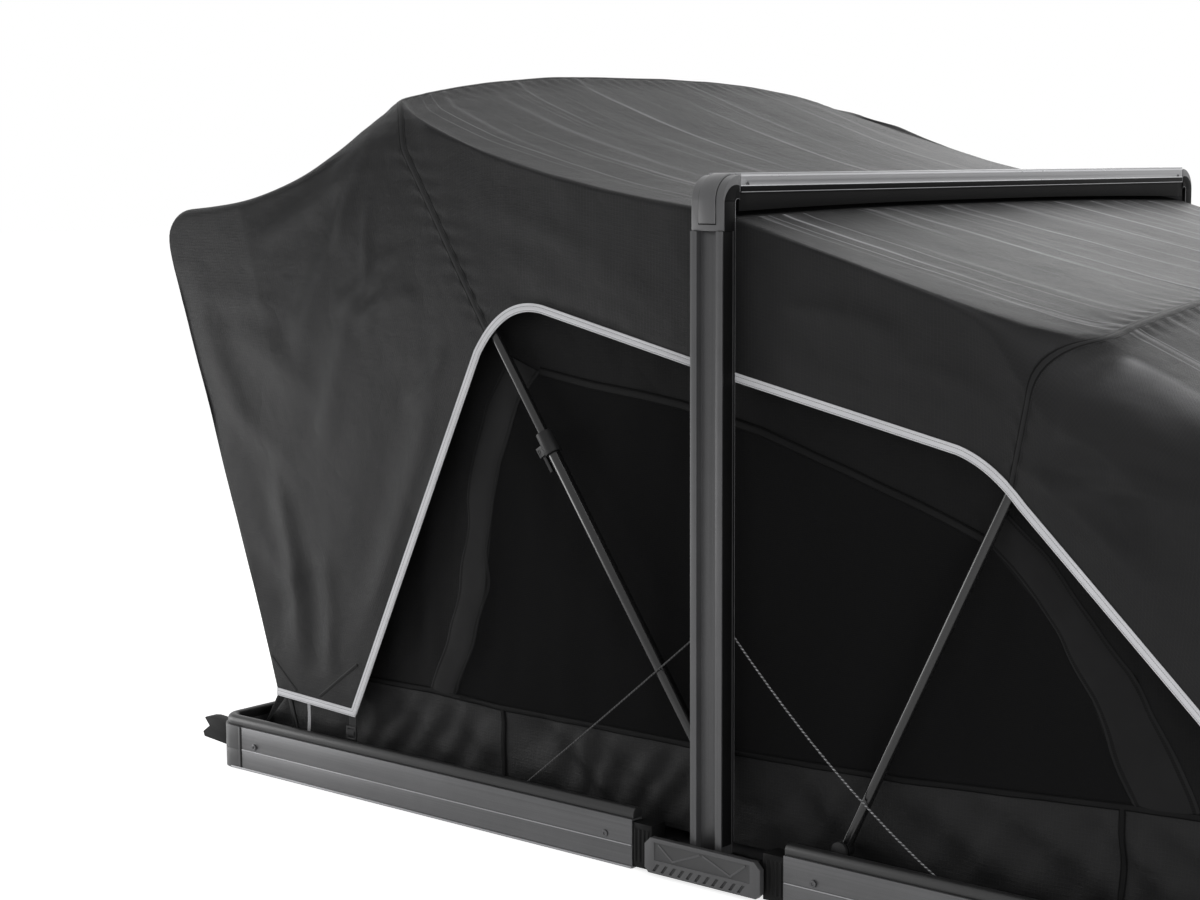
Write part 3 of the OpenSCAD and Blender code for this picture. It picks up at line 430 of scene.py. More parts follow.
def meshPiece(name, points, faces, uv=None):
    mesh = bpy.data.meshes.new(name)
    mesh.from_pydata([tuple(p) for p in np.asarray(points, float)], [], [tuple(f) for f in faces])
    if uv is not None:
        layer = mesh.uv_layers.new(name="UVMap")
        index = np.empty(len(mesh.loops), np.int32)
        mesh.loops.foreach_get("vertex_index", index)
        layer.data.foreach_set("uv", np.asarray(uv, np.float32)[index].ravel())
    mesh.update()
    piece = bpy.data.objects.new(name, mesh)
    scene.collection.objects.link(piece)
    return piece


def startShape(name, add, **settings):
    bpy.ops.object.select_all(action="DESELECT")
    add(**settings)
    piece = bpy.context.active_object
    piece.name = name
    return piece


# Runs mesh operators on the whole of a piece
def editMesh(piece, *steps):
    activate(piece)
    bpy.ops.object.mode_set(mode="EDIT")
    bpy.ops.mesh.select_all(action="SELECT")
    for operator, settings in steps:
        operator(**settings)
    bpy.ops.object.mode_set(mode="OBJECT")


def closeNormals(piece):
    editMesh(piece, (bpy.ops.mesh.normals_make_consistent, {"inside": False}))


def thicken(piece, thick, offset=0.0):
    applyModifier(piece, "SOLIDIFY", "thickness", thickness=thick, offset=offset)


def dress(piece, degrees, finish, slot):
    activate(piece)
    bpy.ops.object.shade_smooth_by_angle(angle=math.radians(degrees))
    piece.data.materials.clear()
    piece.data.materials.append(finishes[finish])


def dressRigid(piece, degrees, finish, slot, body):
    dress(piece, degrees, finish, slot)
    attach(piece, body)


def lerp(a, b, t):
    return a + (b - a) * t


# Distance from the start of a line to each of its points
def runOf(line):
    return np.concatenate([[0], np.cumsum(np.linalg.norm(np.diff(line, axis=0), axis=1))])


# Quads of a net with so many points in each row; turned quads face the other way
def netFaces(count, wide, turned=False):
    corners = (0, wide, wide + 1, 1) if turned else (0, 1, wide + 1, wide)
    starts = [k * wide + i for k in range(count - 1) for i in range(wide - 1)]
    return [tuple(start + corner for corner in corners) for start in starts]


# Quads round a tube, with a cap at each end
def ringFaces(count, sides):
    faces = [(i * sides + j, i * sides + k, (i + 1) * sides + k, (i + 1) * sides + j)
             for i in range(count - 1) for j, k in zip(range(sides), (*range(1, sides), 0))]
    faces.append(tuple(range(sides))[::-1])
    faces.append(tuple((count - 1) * sides + j for j in range(sides)))
    return faces


def movedFaces(faces, base):
    return [tuple(base + i for i in face) for face in faces]


def camelName(name):
    first, *rest = name.split("_")
    return first + "".join(word.capitalize() for word in rest)


bothSides = (("Near", -1), ("Far", 1))
mirrorX, mirrorY = np.array((-1.0, 1.0, 1.0)), np.array((1.0, -1.0, 1.0))


def leaning(degrees):
    return (math.sin(math.radians(degrees)), 0.0, math.cos(math.radians(degrees)))


# Soft goods by group: body, joint, direction, a point on the pile; only the body is used, and the pieces ride
# with it
packing = {
    "doorCentre": ("base", "spine_fold", leaning(7), (-0.10, 0, 0.10)),
    "doorEave": ("base", "spine_fold", leaning(-10.6), (-1.165, 0, 0.075)),
    "doorInner": ("base", "spine_fold", leaning(0), (-0.6, 0, 0.085)),
    "doorCord": ("base", "spine_fold", leaning(15), (-0.45, 0, 0.16)),
    "headCentre": ("flip", "flip_fold", leaning(-7), (0.10, 0, 0.10)),
    "headEave": ("flip", "flip_fold", leaning(13.5), (1.165, 0, 0.050)),
    "headInner": ("flip", "flip_fold", leaning(0), (0.6, 0, 0.085)),
    "headCord": ("flip", "flip_fold", leaning(-15), (0.45, 0, 0.16)),
    "hoop": ("spine", "spine_fold", leaning(0), (0, 0, 0.08)),
}


def packSoft(piece, group):
    body, joint, axis, anchor = packing[group]
    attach(piece, body)
    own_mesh(piece)
    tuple(axis)
    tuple(anchor)


def dressSoft(piece, degrees, finish, slot, group):
    dress(piece, degrees, finish, slot)
    packSoft(piece, group)


# Tension cords from the trays to the hoop's eyes, and the crimps at their lower ends
tensionCord = {"foot": (0.450, 0.7637, 0.072), "eye": (0.003, 0.7637, 0.440), "radius": 0.0015, "points": 41,
               "sides": 12, "crimp": 0.0034, "crimpLong": 0.016, "crimpEdge": 0.0008, "crimpUp": 0.016}


def tubeAlong(path, radius, sides):
    path = np.asarray(path, float)
    tangent = np.gradient(path, axis=0)
    tangent /= np.linalg.norm(tangent, axis=1, keepdims=True)
    beside = np.array((0.0, 1.0, 0.0))
    points, uv = [], []
    along = runOf(path)
    for place, ahead, s in zip(path, tangent, along):
        first = np.cross(ahead, beside)
        first /= np.linalg.norm(first)
        second = np.cross(ahead, first)
        for j in range(sides):
            a = 2 * math.pi * j / sides
            points.append(place + radius * (math.cos(a) * first + math.sin(a) * second))
            uv.append((s, radius * a))
    return points, ringFaces(len(path), sides), uv, float(along[-1])


def crimpOn(name, place, ahead, group):
    crimp = startShape(name, bpy.ops.mesh.primitive_cylinder_add, vertices=20, radius=tensionCord["crimp"],
                       depth=tensionCord["crimpLong"])
    bevel = {"offset": tensionCord["crimpEdge"], "segments": 2, "affect": "EDGES"}
    editMesh(crimp, (bpy.ops.mesh.bevel, bevel))
    turned = Vector(ahead).to_track_quat("Z", "Y").to_matrix().to_4x4()
    crimp.data.transform(Matrix.Translation(place) @ turned)
    dressSoft(crimp, 40, "channel", "steel_hardware", group)
    return crimp


def tensionCords():
    foot, eye = np.array(tensionCord["foot"]), np.array(tensionCord["eye"])
    t = np.linspace(0, 1, tensionCord["points"])[:, None]
    for tray, side, along, sag, finish, lay in (("Base", "door", -1, 0.002, "darkBraid", "taut"),
                                                ("Flip", "head", 1, 0.030, "lightBraid", "hanging")):
        for label, across in bothSides:
            path = foot + (eye - foot) * t - np.array((0, 0, 4 * sag)) * t * (1 - t)
            path = path * np.array((along, across, 1))
            points, faces, uv, length = tubeAlong(path, tensionCord["radius"], tensionCord["sides"])
            cord = meshPiece("cord" + tray + label, points, faces, uv)
            closeNormals(cord)
            dressSoft(cord, 60, finish, "cord", side + "Cord")
            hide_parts("cords_" + tray.lower())
            ahead = path[1] - path[0]
            ahead /= np.linalg.norm(ahead)
            crimp = crimpOn("cordCrimp" + tray + label, path[0] + tensionCord["crimpUp"] * ahead, ahead,
                            side + "Cord")
            tuple(path[0])
            [tuple(p) for p in path]


tensionCords()
print("cords done")


# Rigid pieces: a merged copy of each CAD solid with its edges broken
rigidPieces = (
    ("panel", 0.0012, "base_floor flip_floor spine_floor"),
    ("channel", 0.0006, "mounting_channels"),
    ("railX", 0.0011, "base_rail_near base_rail_far flip_rail_near flip_rail_far"),
    ("railY", 0.0011, "base_end_rail flip_end_rail"),
    ("corner", 0.0014, "base_corner_near base_corner_far flip_corner_near flip_corner_far"),
    ("rubber", 0.0008, "base_rim_seal flip_rim_seal"),
    # Hinge blocks: black plastic, darkened further as painted shade of the space around them
    ("blackBlock", 0.0012, "base_hinge_block_near base_hinge_block_far"),
    ("blackBlock", 0.0012, "flip_hinge_block_near flip_hinge_block_far"),
    ("blackBlock", 0.0016, "end_bracket"),
    ("screw", 0.0005, "base_screws flip_screws"),
    ("screw", 0.0004, "hoop_screws"),
    ("moulded", 0.0009, "base_anchors flip_anchors"),
    ("plate", 0.0010, "hinge_plate_near hinge_plate_far"),
    ("steel", 0.0008, "hinge_pins"),
    ("railZ", 0.0012, "hoop_upright_near hoop_upright_far"),
    ("elbow", 0.0016, "hoop_elbow_near hoop_elbow_far"),
    ("crossbar", 0.0024, "hoop_crossbar"),
    ("stripRubber", 0.0004, "hoop_seals"),
    ("moulded", 0.0008, "bow_pivots"),
    ("moulded", 0.0010, "front_feet"),
    ("tube", 0.0008, "main_leg_near main_leg_far"),
    ("moulded", 0.0010, "clamp_collars"),
    ("tube", 0.0006, "main_bow"),
    ("tube", 0.0008, "front_bow"),
    ("moulded", 0.0008, "clamp_lever_near clamp_lever_far"),
)
brokenEdge = {"merge": 0.00001, "flat": math.radians(0.4), "sharp": math.radians(38), "smooth": 34}
bodyOf = {node: body for body, members in frame["record"]["behaviour"]["bodies"].items() for node in members}
slotOf = {part["node"]: part.get("material_slot") for part in frame["record"]["subparts"]}


def bevelCopy(node, finish, width):
    piece = bpy.data.objects.new(camelName(node), nodes[node].data.copy())
    scene.collection.objects.link(piece)
    activate(piece)
    bpy.ops.mesh.customdata_custom_splitnormals_clear()
    editMesh(piece, (bpy.ops.mesh.remove_doubles, {"threshold": brokenEdge["merge"]}),
             (bpy.ops.mesh.dissolve_limited, {"angle_limit": brokenEdge["flat"]}))
    applyModifier(piece, "BEVEL", "brokenEdge", width=width, segments=2, limit_method="ANGLE",
                  angle_limit=brokenEdge["sharp"], use_clamp_overlap=True)
    dressRigid(piece, brokenEdge["smooth"], finish, slotOf.get(node), bodyOf[node])
    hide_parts(node)
    return piece


for finish, width, group in rigidPieces:
    for node in group.split():
        bevelCopy(node, finish, width)
print("rigid pieces done")


# Trim on the trays: bright lines on the rails and bright lips under them, as painted highlights, and joint
# strips at the corners
trayTrim = {"end": 1.210, "side": 0.800, "corner": 0.068, "gap": 0.155, "grooveZ": 0.0395, "line": 0.0011,
            "lip": 0.0042, "proud": 0.0018, "strip": 0.0026, "sunk": 0.0005, "lipZ": 0.0002, "clear": 0.001,
            "lineProud": 0.0003, "lipStart": 0.03, "stripZ": (0.003, 0.083), "stripX": (0.001, 0.006),
            "gapZ": (0.002, 0.0835), "stripProud": 0.0012, "gapProud": 0.0004, "gapEnd": 0.0008}
trimSlots = {"brightX": "light_aluminium", "brightY": "light_aluminium", "brightZ": "light_aluminium",
             "polish": "light_aluminium", "stripRubber": "seal_rubber", "corner": "moulded_plastic",
             "blackBlock": "moulded_plastic"}


def barPiece(name, low, high, finish, body, edge=0.0003, slot=None):
    low, high = np.minimum(low, high), np.maximum(low, high)
    bar = startShape(name, bpy.ops.mesh.primitive_cube_add, size=1, location=tuple((low + high) / 2),
                     scale=tuple(high - low))
    bpy.ops.object.transform_apply(location=True, rotation=True, scale=True)
    editMesh(bar, (bpy.ops.mesh.bevel, {"offset": edge, "segments": 2, "affect": "EDGES"}))
    dressRigid(bar, 40, finish, slot or trimSlots[finish], body)


def trayTrims():
    end, side, leg, gap = (trayTrim[key] for key in ("end", "side", "corner", "gap"))
    z, line, lip, proud, strip = (trayTrim[key] for key in ("grooveZ", "line", "lip", "proud", "strip"))
    clear, sunk, lipZ = (trayTrim[key] for key in ("clear", "sunk", "lipZ"))
    joint = end - leg
    inner = side - sunk
    for body, along in (("base", -1), ("flip", 1)):
        for label, across in bothSides:
            turn = np.array((along, across, 1.0))
            x0, x1 = joint - clear, gap + clear
            name = body + label
            barPiece(name + "RailLine", turn * (x0, side - clear, z - line),
                     turn * (x1, side + trayTrim["lineProud"], z + line), "brightX", body)
            barPiece(name + "RailLip", turn * (x0 + trayTrim["lipStart"], inner, lipZ),
                     turn * (x1, side + proud, lip), "brightX", body)
            (low, high), (start, stop) = trayTrim["stripZ"], trayTrim["stripX"]
            barPiece(name + "CornerStrip", turn * (joint + start, inner, low),
                     turn * (joint + stop, side + trayTrim["stripProud"], high), "corner", body, 0.0008)
            low, high = trayTrim["gapZ"]
            barPiece(name + "CornerGap", turn * (joint - strip, inner, low),
                     turn * (joint + trayTrim["gapEnd"], side + trayTrim["gapProud"], high), "blackBlock",
                     body, 0.0001, "seal_rubber")
        turn = np.array((along, 1.0, 1.0))
        barPiece(body + "EndLine", turn * (end - clear, leg - side, z - line),
                 turn * (end + trayTrim["lineProud"], side - leg, z + line), "brightY", body)
        barPiece(body + "EndLip", turn * (end - sunk, leg - side, lipZ),
                 turn * (end + proud, side - leg, lip), "brightY", body)


trayTrims()
print("tray trim done")


# Rubber piping round the hoop's inner edge, with a thin bright line on the uprights as a painted highlight
hoopTrim = {"face": 0.0320, "half": 0.800, "top": 1.150, "radius": 0.044, "thick": 0.030, "leg": 0.090,
            "reach": 0.048, "foot": 0.075, "proud": 0.0008, "deep": 0.006, "lip": 0.0032, "roof": 1.0905,
            "crown": 0.0078, "dark": (0.0385, 0.0245), "pad": (0.0160, 0.0175), "padFoot": -0.0027,
            "padLow": 0.0108, "strip": 0.0095, "sunk": 0.0005, "bright": 0.0003, "snug": 0.0004,
            "edge": 0.0003, "tip": 0.001, "edgeLine": 0.0013, "back": 0.001,
            "padLine": ((0.0034, -0.0010), (0.0024, 0.0008)), "crossFoot": (-0.0002, 0.0011, 0.0004),
            "crossLine": (0.0018, 0.0006), "crossTop": (-0.0056, -0.0023, 0.0005)}


# A band of quads put in place point by point: inner or outer edge, and how far along
def bandPiece(name, long, place):
    band = startShape(name, bpy.ops.mesh.primitive_grid_add, x_subdivisions=1, y_subdivisions=long, size=1)
    for vertex in band.data.vertices:
        vertex.co = place(vertex.co.x < 0, vertex.co.y + 0.5)
    return band


def solidBand(band, deep, turn, finish):
    editMesh(band, (bpy.ops.mesh.extrude_region_move, {"TRANSFORM_OT_translate": {"value": (deep, 0, 0)}}))
    band.data.transform(Matrix.Diagonal((*turn, 1.0, 1.0)))
    closeNormals(band)
    applyModifier(band, "BEVEL", "softEdge", width=hoopTrim["edge"], segments=2, limit_method="ANGLE")
    dressRigid(band, 40, finish, trimSlots[finish], "spine")


def arcPiece(name, inner, outer, low, high, turn, finish="stripRubber"):
    middleY, middleZ = hoopTrim["radius"] - hoopTrim["half"], hoopTrim["top"] - hoopTrim["radius"]

    def place(inside, t):
        angle = math.radians(180 - 90 * t)
        r = lerp(*inner, t) if inside else lerp(*outer, t)
        return (low, middleY + r * math.cos(angle), middleZ + r * math.sin(angle))

    solidBand(bandPiece(name, 18, place), high - low, (turn[0], -turn[1]), finish)


# Painted shade: a dark line along the elbow's outer face, at the foot of its raised pad
def elbowPadShade(name, low, high, across):
    half, top, radius = (hoopTrim[key] for key in ("half", "top", "radius"))
    out = hoopTrim["padFoot"]
    foot = top - hoopTrim["leg"] + hoopTrim["padLow"]
    path = [(-half - out, z) for z in np.linspace(foot, top - radius, 7)]
    for angle in np.radians(np.linspace(180, 90, 17)[1:]):
        y, z = (radius + out) * math.cos(angle), (radius + out) * math.sin(angle)
        path.append((radius - half + y, top - radius + z))
    path.append((hoopTrim["reach"] - half, top + out))
    last = len(path) - 1

    def place(inside, t):
        y, z = path[round(t * last)]
        return (low if inside else high, -across * y, z)

    line = bandPiece(name, last, place)
    thicken(line, 0.0006)
    closeNormals(line)
    dressRigid(line, 40, "blackBlock", "moulded_plastic", "spine")


# Painted shade: a black band for the shaded gap under the crossbar; it hangs from the crossbar down to the
# fly, whose roof it follows
def shadeCollarPiece(name, reach, top, low, high, along):
    def place(inside, t):
        y = 2 * reach * (t - 0.5)
        roof = hoopTrim["roof"] + hoopTrim["crown"] * (1 - abs(y / reach) ** 2.4)
        return (low, y, roof if inside else top + hoopTrim["snug"])

    solidBand(bandPiece(name, 60, place), high - low, (along, 1.0), "stripRubber")


def hoopTrims():
    face, half, top, radius = (hoopTrim[key] for key in ("face", "half", "top", "radius"))
    lip, deep, proud, sunk = (hoopTrim[key] for key in ("lip", "deep", "proud", "sunk"))
    bright, snug, floor, back = (hoopTrim[key] for key in ("bright", "snug", "foot", "back"))
    tip, edge = hoopTrim["tip"], hoopTrim["edgeLine"]
    inside = half - hoopTrim["thick"]
    hollow = radius - hoopTrim["thick"]
    reach = half - hoopTrim["reach"]
    under = top - hoopTrim["thick"]
    front = face + proud
    for side, along in (("Door", -1), ("Head", 1)):
        for label, across in bothSides:
            turn = np.array((along, across, 1.0))
            name = "hoop" + side + label
            arcPiece(name + "Piping", (hollow, hollow), hoopTrim["dark"], face - sunk, front, turn)
            arcPiece(name + "Corner", (hollow - lip, tip), (hollow + snug, hollow + snug), face - deep,
                     front, turn)
            barPiece(name + "LegStrip", turn * (face - sunk, inside, top - hoopTrim["leg"]),
                     turn * (front, half - radius + hoopTrim["dark"][0], top - radius), "stripRubber",
                     "spine")
            # Painted highlight along the inner edge, round the elbow
            arcPiece(name + "EdgeTurn", (hollow - lip + bright, tip + bright),
                     (hollow - lip + edge, tip + edge), face, front + bright, turn, "brightZ")
            elbowPadShade(name + "PadLine", along * hoopTrim["pad"][0], along * hoopTrim["pad"][1], across)
            barPiece(name + "Lip", turn * (face - deep, inside - lip, floor),
                     turn * (front, inside + snug, top - radius), "stripRubber", "spine")
            # Painted highlight along the upright's inner edge
            barPiece(name + "EdgeLine", turn * (face, inside - lip + bright, floor),
                     turn * (front + bright, inside - lip + edge, top - radius), "brightZ", "spine")
        turn = np.array((along, 1.0, 1.0))
        # Painted shade under the crossbar
        shadeCollarPiece("hoop" + side + "Collar", half - radius, under, face - deep, face - back, along)
        strip = under + hoopTrim["strip"]
        footLow, footHigh, footProud = hoopTrim["crossFoot"]
        lineHigh, lineProud = hoopTrim["crossLine"]
        topLow, topHigh, topProud = hoopTrim["crossTop"]
        # The crossbar's black strip, with bright bars at its foot, above it and on the top edge as painted
        # highlights
        for label, low, high, stand, finish in (
                ("Strip", under, strip, proud, "stripRubber"),
                ("Foot", under + footLow, under + footHigh, proud + footProud, "brightY"),
                ("Line", strip, strip + lineHigh, lineProud, "polish"),
                ("Top", top + topLow, top + topHigh, topProud, "polish")):
            barPiece("hoop" + side + "Cross" + label, turn * (face - back, reach, low),
                     turn * (face + stand, -reach, high), finish, "spine")
    foot = top - hoopTrim["leg"] + hoopTrim["padLow"]
    wide = hoopTrim["pad"][1]
    (inLow, down), (inHigh, up) = hoopTrim["padLine"]
    # Painted shade at the foot of each elbow's pad
    for label, across in bothSides:
        turn = np.array((1.0, across, 1.0))
        barPiece("hoopPadFoot" + label, turn * (-wide, half - inLow, foot + down),
                 turn * (wide, half - inHigh, foot + up), "blackBlock", "spine")


hoopTrims()
print("hoop trim done")


# Fly: outlines in metres. Both halves are drawn towards the door end, and the head half is then mirrored
flyCut = {
    "halfWidth": 0.7655, "hoopHalf": 0.03, "thick": 0.0012, "eaveRound": 0.050,
    "hoopLow": 0.842, "hoopTop": 1.090, "hoopCrown": 0.007,
    "cuts": (0, 0.3, 0.55, 0.85, 1), "ridge": 0.5, "crownShape": 2.4, "shiftWide": 0.12, "shiftRise": 0.2,
    "wallRows": 56, "bendRows": 9, "centreColumns": 84, "eaveColumns": (8, 42, 20),
    "door": {
        "shoulder": ((-0.370, 0.925), (-0.468, 0.947), (-0.535, 0.842)),
        "flap": ((-0.862, 0.155), (-1.070, 0.165)),
        "peak": (-0.795, 1.279), "eave": (-1.381, 1.078), "dip": 0.273, "hollow": 0.140, "sag": 0.026,
        "crown": (0.057, 0.022), "opening": 0.72, "seamShift": 0.085,
        "bend": ((0, 0.008), (0.36, 0.010), (0.45, 0.030), (0.5, 0.085), (0.53, 0.062), (0.58, 0.036),
                 (0.66, 0.022), (0.8, 0.016), (1, 0.018))},
    "head": {
        "shoulder": ((-0.440, 0.752), (-0.500, 0.736), (-0.553, 0.678)),
        "flap": ((-1.108, 0.156), (-1.165, 0.165)),
        "peak": (-0.636, 0.910), "eave": (-1.352, 0.645), "dip": 0.2, "hollow": 0.03, "sag": 0.002,
        "crown": (0.050, 0.022), "opening": 0.40, "seamShift": 0.078,
        "bend": ((0, 0.008), (0.39, 0.010), (0.44, 0.019), (0.47, 0.042), (0.5, 0.080), (0.54, 0.098),
                 (0.62, 0.11), (0.8, 0.08), (1, 0.05))},
}

# Tension lines on the roof: place across at the hoop and at the bow, height and width of the crease
roofLines = {
    "door": ((-0.655, -0.64, 0.0011, 0.008), (-0.56, -0.575, 0.0018, 0.006), (-0.49, -0.505, 0.0008, 0.01),
             (-0.395, -0.42, 0.0021, 0.005), (-0.3, -0.335, 0.0009, 0.009), (-0.19, -0.235, 0.0019, 0.006),
             (-0.11, -0.125, 0.0008, 0.009), (0.02, 0.01, 0.0017, 0.006), (0.14, 0.15, 0.001, 0.008),
             (0.245, 0.235, 0.002, 0.005), (0.395, 0.4, 0.0013, 0.007), (0.52, 0.545, 0.0018, 0.006),
             (0.66, 0.64, 0.001, 0.008)),
    "head": ((-0.7, -0.672, 0.0013, 0.006), (-0.64, -0.63, 0.0019, 0.0045), (-0.545, -0.56, 0.0007, 0.009),
             (-0.4, -0.452, 0.0016, 0.004), (-0.345, -0.352, 0.0008, 0.006), (-0.265, -0.312, 0.0019, 0.0038),
             (-0.175, -0.168, 0.001, 0.005), (-0.12, -0.155, 0.0018, 0.0038), (-0.03, -0.06, 0.0019, 0.004),
             (0.03, 0.042, 0.0008, 0.006), (0.085, 0.065, 0.002, 0.0036), (0.152, 0.16, 0.001, 0.005),
             (0.23, 0.215, 0.0019, 0.0038), (0.292, 0.31, 0.0012, 0.005), (0.368, 0.35, 0.0018, 0.004),
             (0.455, 0.47, 0.0009, 0.006), (0.52, 0.508, 0.0018, 0.004), (0.605, 0.612, 0.0012, 0.005),
             (0.68, 0.664, 0.0017, 0.005)),
}

# Heights of what the cloth does by itself, and the painted sheen on its creases and roof edge
flyDrape = {"seamLift": 0.005, "eaveSoft": 0.060, "crease": 0.3, "fold": 1.1, "slack": 0.0035, "fine": 0.0011,
            "pucker": 0.0018, "foldSway": 0.010, "farShift": 0.03, "creasePale": 330, "edgePale": 0.08,
            "palest": 0.8, "slackSeed": {"door": 4.0, "head": 9.0}, "slackScale": 3.2, "fineScale": 11.0,
            "wander": (0.55, 0.6, 6.0, 2.3, 1.2), "edgeWander": (0.7, 0.5, 9.0, 0.0, 1.0),
            "roofValley": (0.5, 2.3, 2.0), "wallValley": (0.6, -1.9, 1.5), "lineEnds": (0.1, 0.6),
            "foldEnds": (0.22, 0.3), "puckerPace": (190, 170), "puckerFade": 3.0}

# Creases from the hoop at 0 to the bow at 1: level, where the rise starts and its length, where the fade
# starts, its length and what it takes away
creaseSpan = {"door": {"taper": (1.0, 0.1, 0.5, 0.84, 0.16, 0.7), "shown": (0.5, 0.0, 0.15, 0.75, 0.25, 0.6)},
              "head": {"taper": (1.0, 0.0, 0.22, 0.8, 0.5, 0.75), "shown": (1.0, -1.0, 1.0, 0.0, 1.2, 0.35)}}

# Soft folds on the side walls: two ends in X and Z, height and width
wallFolds = {
    "door": ((-0.80, 1.20, -1.12, 0.99, 0.0060, 0.020), (-0.83, 1.15, -1.02, 0.78, 0.0050, 0.024),
             (-0.79, 1.08, -0.95, 0.56, 0.0042, 0.028), (-1.29, 1.00, -1.15, 0.60, 0.0045, 0.034),
             (-0.61, 0.80, -0.85, 0.26, 0.0056, 0.032), (-1.06, 0.62, -1.00, 0.21, 0.0055, 0.024),
             (-0.94, 0.46, -0.91, 0.18, 0.0045, 0.020),
             (-1.20, 0.86, -0.92, 0.74, 0.0040, 0.036), (-1.12, 0.44, -0.98, 0.36, 0.0036, 0.026),
             (-0.80, 1.19, -0.90, 1.00, 0.0036, 0.012), (-0.78, 1.12, -0.83, 0.92, 0.0030, 0.010),
             (-0.72, 1.01, -0.90, 0.90, 0.0030, 0.014), (-0.60, 0.86, -0.72, 0.72, 0.0034, 0.014),
             (-1.28, 0.90, -1.02, 0.92, 0.0030, 0.022), (-1.20, 0.70, -0.98, 0.60, 0.0034, 0.024),
             (-0.70, 0.98, -0.84, 0.86, 0.0032, 0.016), (-0.66, 0.93, -0.86, 0.90, 0.0028, 0.012),
             (-0.50, 1.02, -0.08, 0.93, 0.0022, 0.030), (-0.44, 0.97, -0.10, 0.89, 0.0018, 0.020),
             (-0.58, 1.10, -0.20, 1.01, 0.0020, 0.026)),
    "head": ((-0.10, 0.98, -0.50, 0.85, 0.0020, 0.030), (-0.60, 0.80, -0.92, 0.58, 0.0035, 0.030),
             (-0.70, 0.78, -1.04, 0.42, 0.0035, 0.032), (-1.00, 0.62, -1.12, 0.22, 0.0040, 0.028),
             (-0.58, 0.74, -0.86, 0.47, 0.0030, 0.020), (-1.20, 0.60, -1.14, 0.24, 0.0035, 0.024),
             (-0.08, 0.88, -0.42, 0.80, 0.0018, 0.022), (-0.54, 0.726, -0.80, 0.690, 0.0062, 0.014),
             (-0.60, 0.790, -0.83, 0.746, 0.0060, 0.018), (-0.66, 0.885, -0.86, 0.835, 0.0065, 0.012),
             (-0.55, 0.700, -0.76, 0.615, 0.0060, 0.018), (-0.64, 0.756, -0.86, 0.700, 0.0050, 0.016),
             (-0.60, 0.845, -0.84, 0.800, 0.0055, 0.016), (-0.66, 0.640, -0.92, 0.520, 0.0050, 0.022),
             (-0.10, 0.96, -0.36, 0.90, 0.0030, 0.016), (-0.30, 0.88, -0.56, 0.80, 0.0026, 0.018)),
}

# Painted highlights on the pull lines beside the bow's corners: two ends in X and Z, strength and width
cornerLines = {
    "door": ((-0.80, 1.225, -0.93, 1.13, 0.10, 0.010), (-0.80, 1.20, -0.88, 1.05, 0.08, 0.008)),
    "head": ((-0.650, 0.893, -0.90, 0.800, 0.30, 0.007), (-0.655, 0.890, -0.88, 0.838, 0.36, 0.006),
             (-0.660, 0.880, -0.92, 0.770, 0.22, 0.009), (-0.645, 0.870, -0.85, 0.760, 0.12, 0.012)),
}


def heightAt(line, x):
    return np.interp(x, [p[0] for p in line], [p[1] for p in line])


def chain(points, cuts, t):
    x = np.interp(t, cuts, [p[0] for p in points])
    z = np.interp(t, cuts, [p[1] for p in points])
    return np.stack([x, z], axis=-1)


def arcThrough(points, t):
    a, b, c = (np.array(p) for p in points)
    t = t[:, None]
    return lerp(lerp(a, b, t), lerp(b, c, t), t)


def lowerEdge(cut, u):
    hoop = (0.0, flyCut["hoopLow"])
    first, _, last = cut["shoulder"]
    line = chain((hoop, first, last, *cut["flap"]), flyCut["cuts"], u)
    start, stop = flyCut["cuts"][1:3]
    bent = (u > start) & (u < stop)
    line[bent] = arcThrough(cut["shoulder"], (u[bent] - start) / (stop - start))
    return line


def roofEdge(cut, u):
    peak, eave = np.array(cut["peak"]), np.array(cut["eave"])
    ridge = flyCut["ridge"]
    line = chain(((0.0, flyCut["hoopTop"]), peak), (0, ridge), u)
    v = np.clip(u / ridge, 0, 1)
    line[:, 1] -= 4 * cut["sag"] * v * (1 - v)
    past = u > ridge
    dip = lerp(peak, eave, cut["dip"]) - np.array((0, cut["hollow"]))
    line[past] = arcThrough((peak, dip, eave), (u[past] - ridge) / (1 - ridge))
    return line


def edgesOf(faces, count):
    f = np.asarray(faces, np.int64)
    pairs = np.concatenate([f[:, [0, 1]], f[:, [1, 2]], f[:, [2, 3]], f[:, [3, 0]]])
    pairs.sort(axis=1)
    code = np.unique(pairs[:, 0] * count + pairs[:, 1])
    return code // count, code % count


# Evens a net out, each point by its own share
def relax(points, ends, share, rounds):
    a, b = ends
    count = len(points)
    degree = np.bincount(a, minlength=count) + np.bincount(b, minlength=count)
    for _ in range(rounds):
        mean = np.empty_like(points)
        for axis in range(3):
            total = np.bincount(a, points[b, axis], count) + np.bincount(b, points[a, axis], count)
            mean[:, axis] = total / np.maximum(degree, 1)
        points += (mean - points) * share[:, None]
    return points


def vertexNormals(points, faces):
    f = np.asarray(faces)
    across = np.cross(points[f[:, 2]] - points[f[:, 0]], points[f[:, 3]] - points[f[:, 1]])
    total = np.zeros_like(points)
    for corner in range(4):
        for axis in range(3):
            total[:, axis] += np.bincount(f[:, corner], across[:, axis], len(points))
    return total / np.maximum(np.linalg.norm(total, axis=1, keepdims=True), 1e-12)


def ease(t):
    t = np.clip(t, 0, 1)
    return t * t * (3 - 2 * t)


def roughness(points, scale, seed):
    return np.array([noise.noise(Vector(p) * scale + Vector((seed, 2.3 * seed, 0.7 * seed))) for p in points])


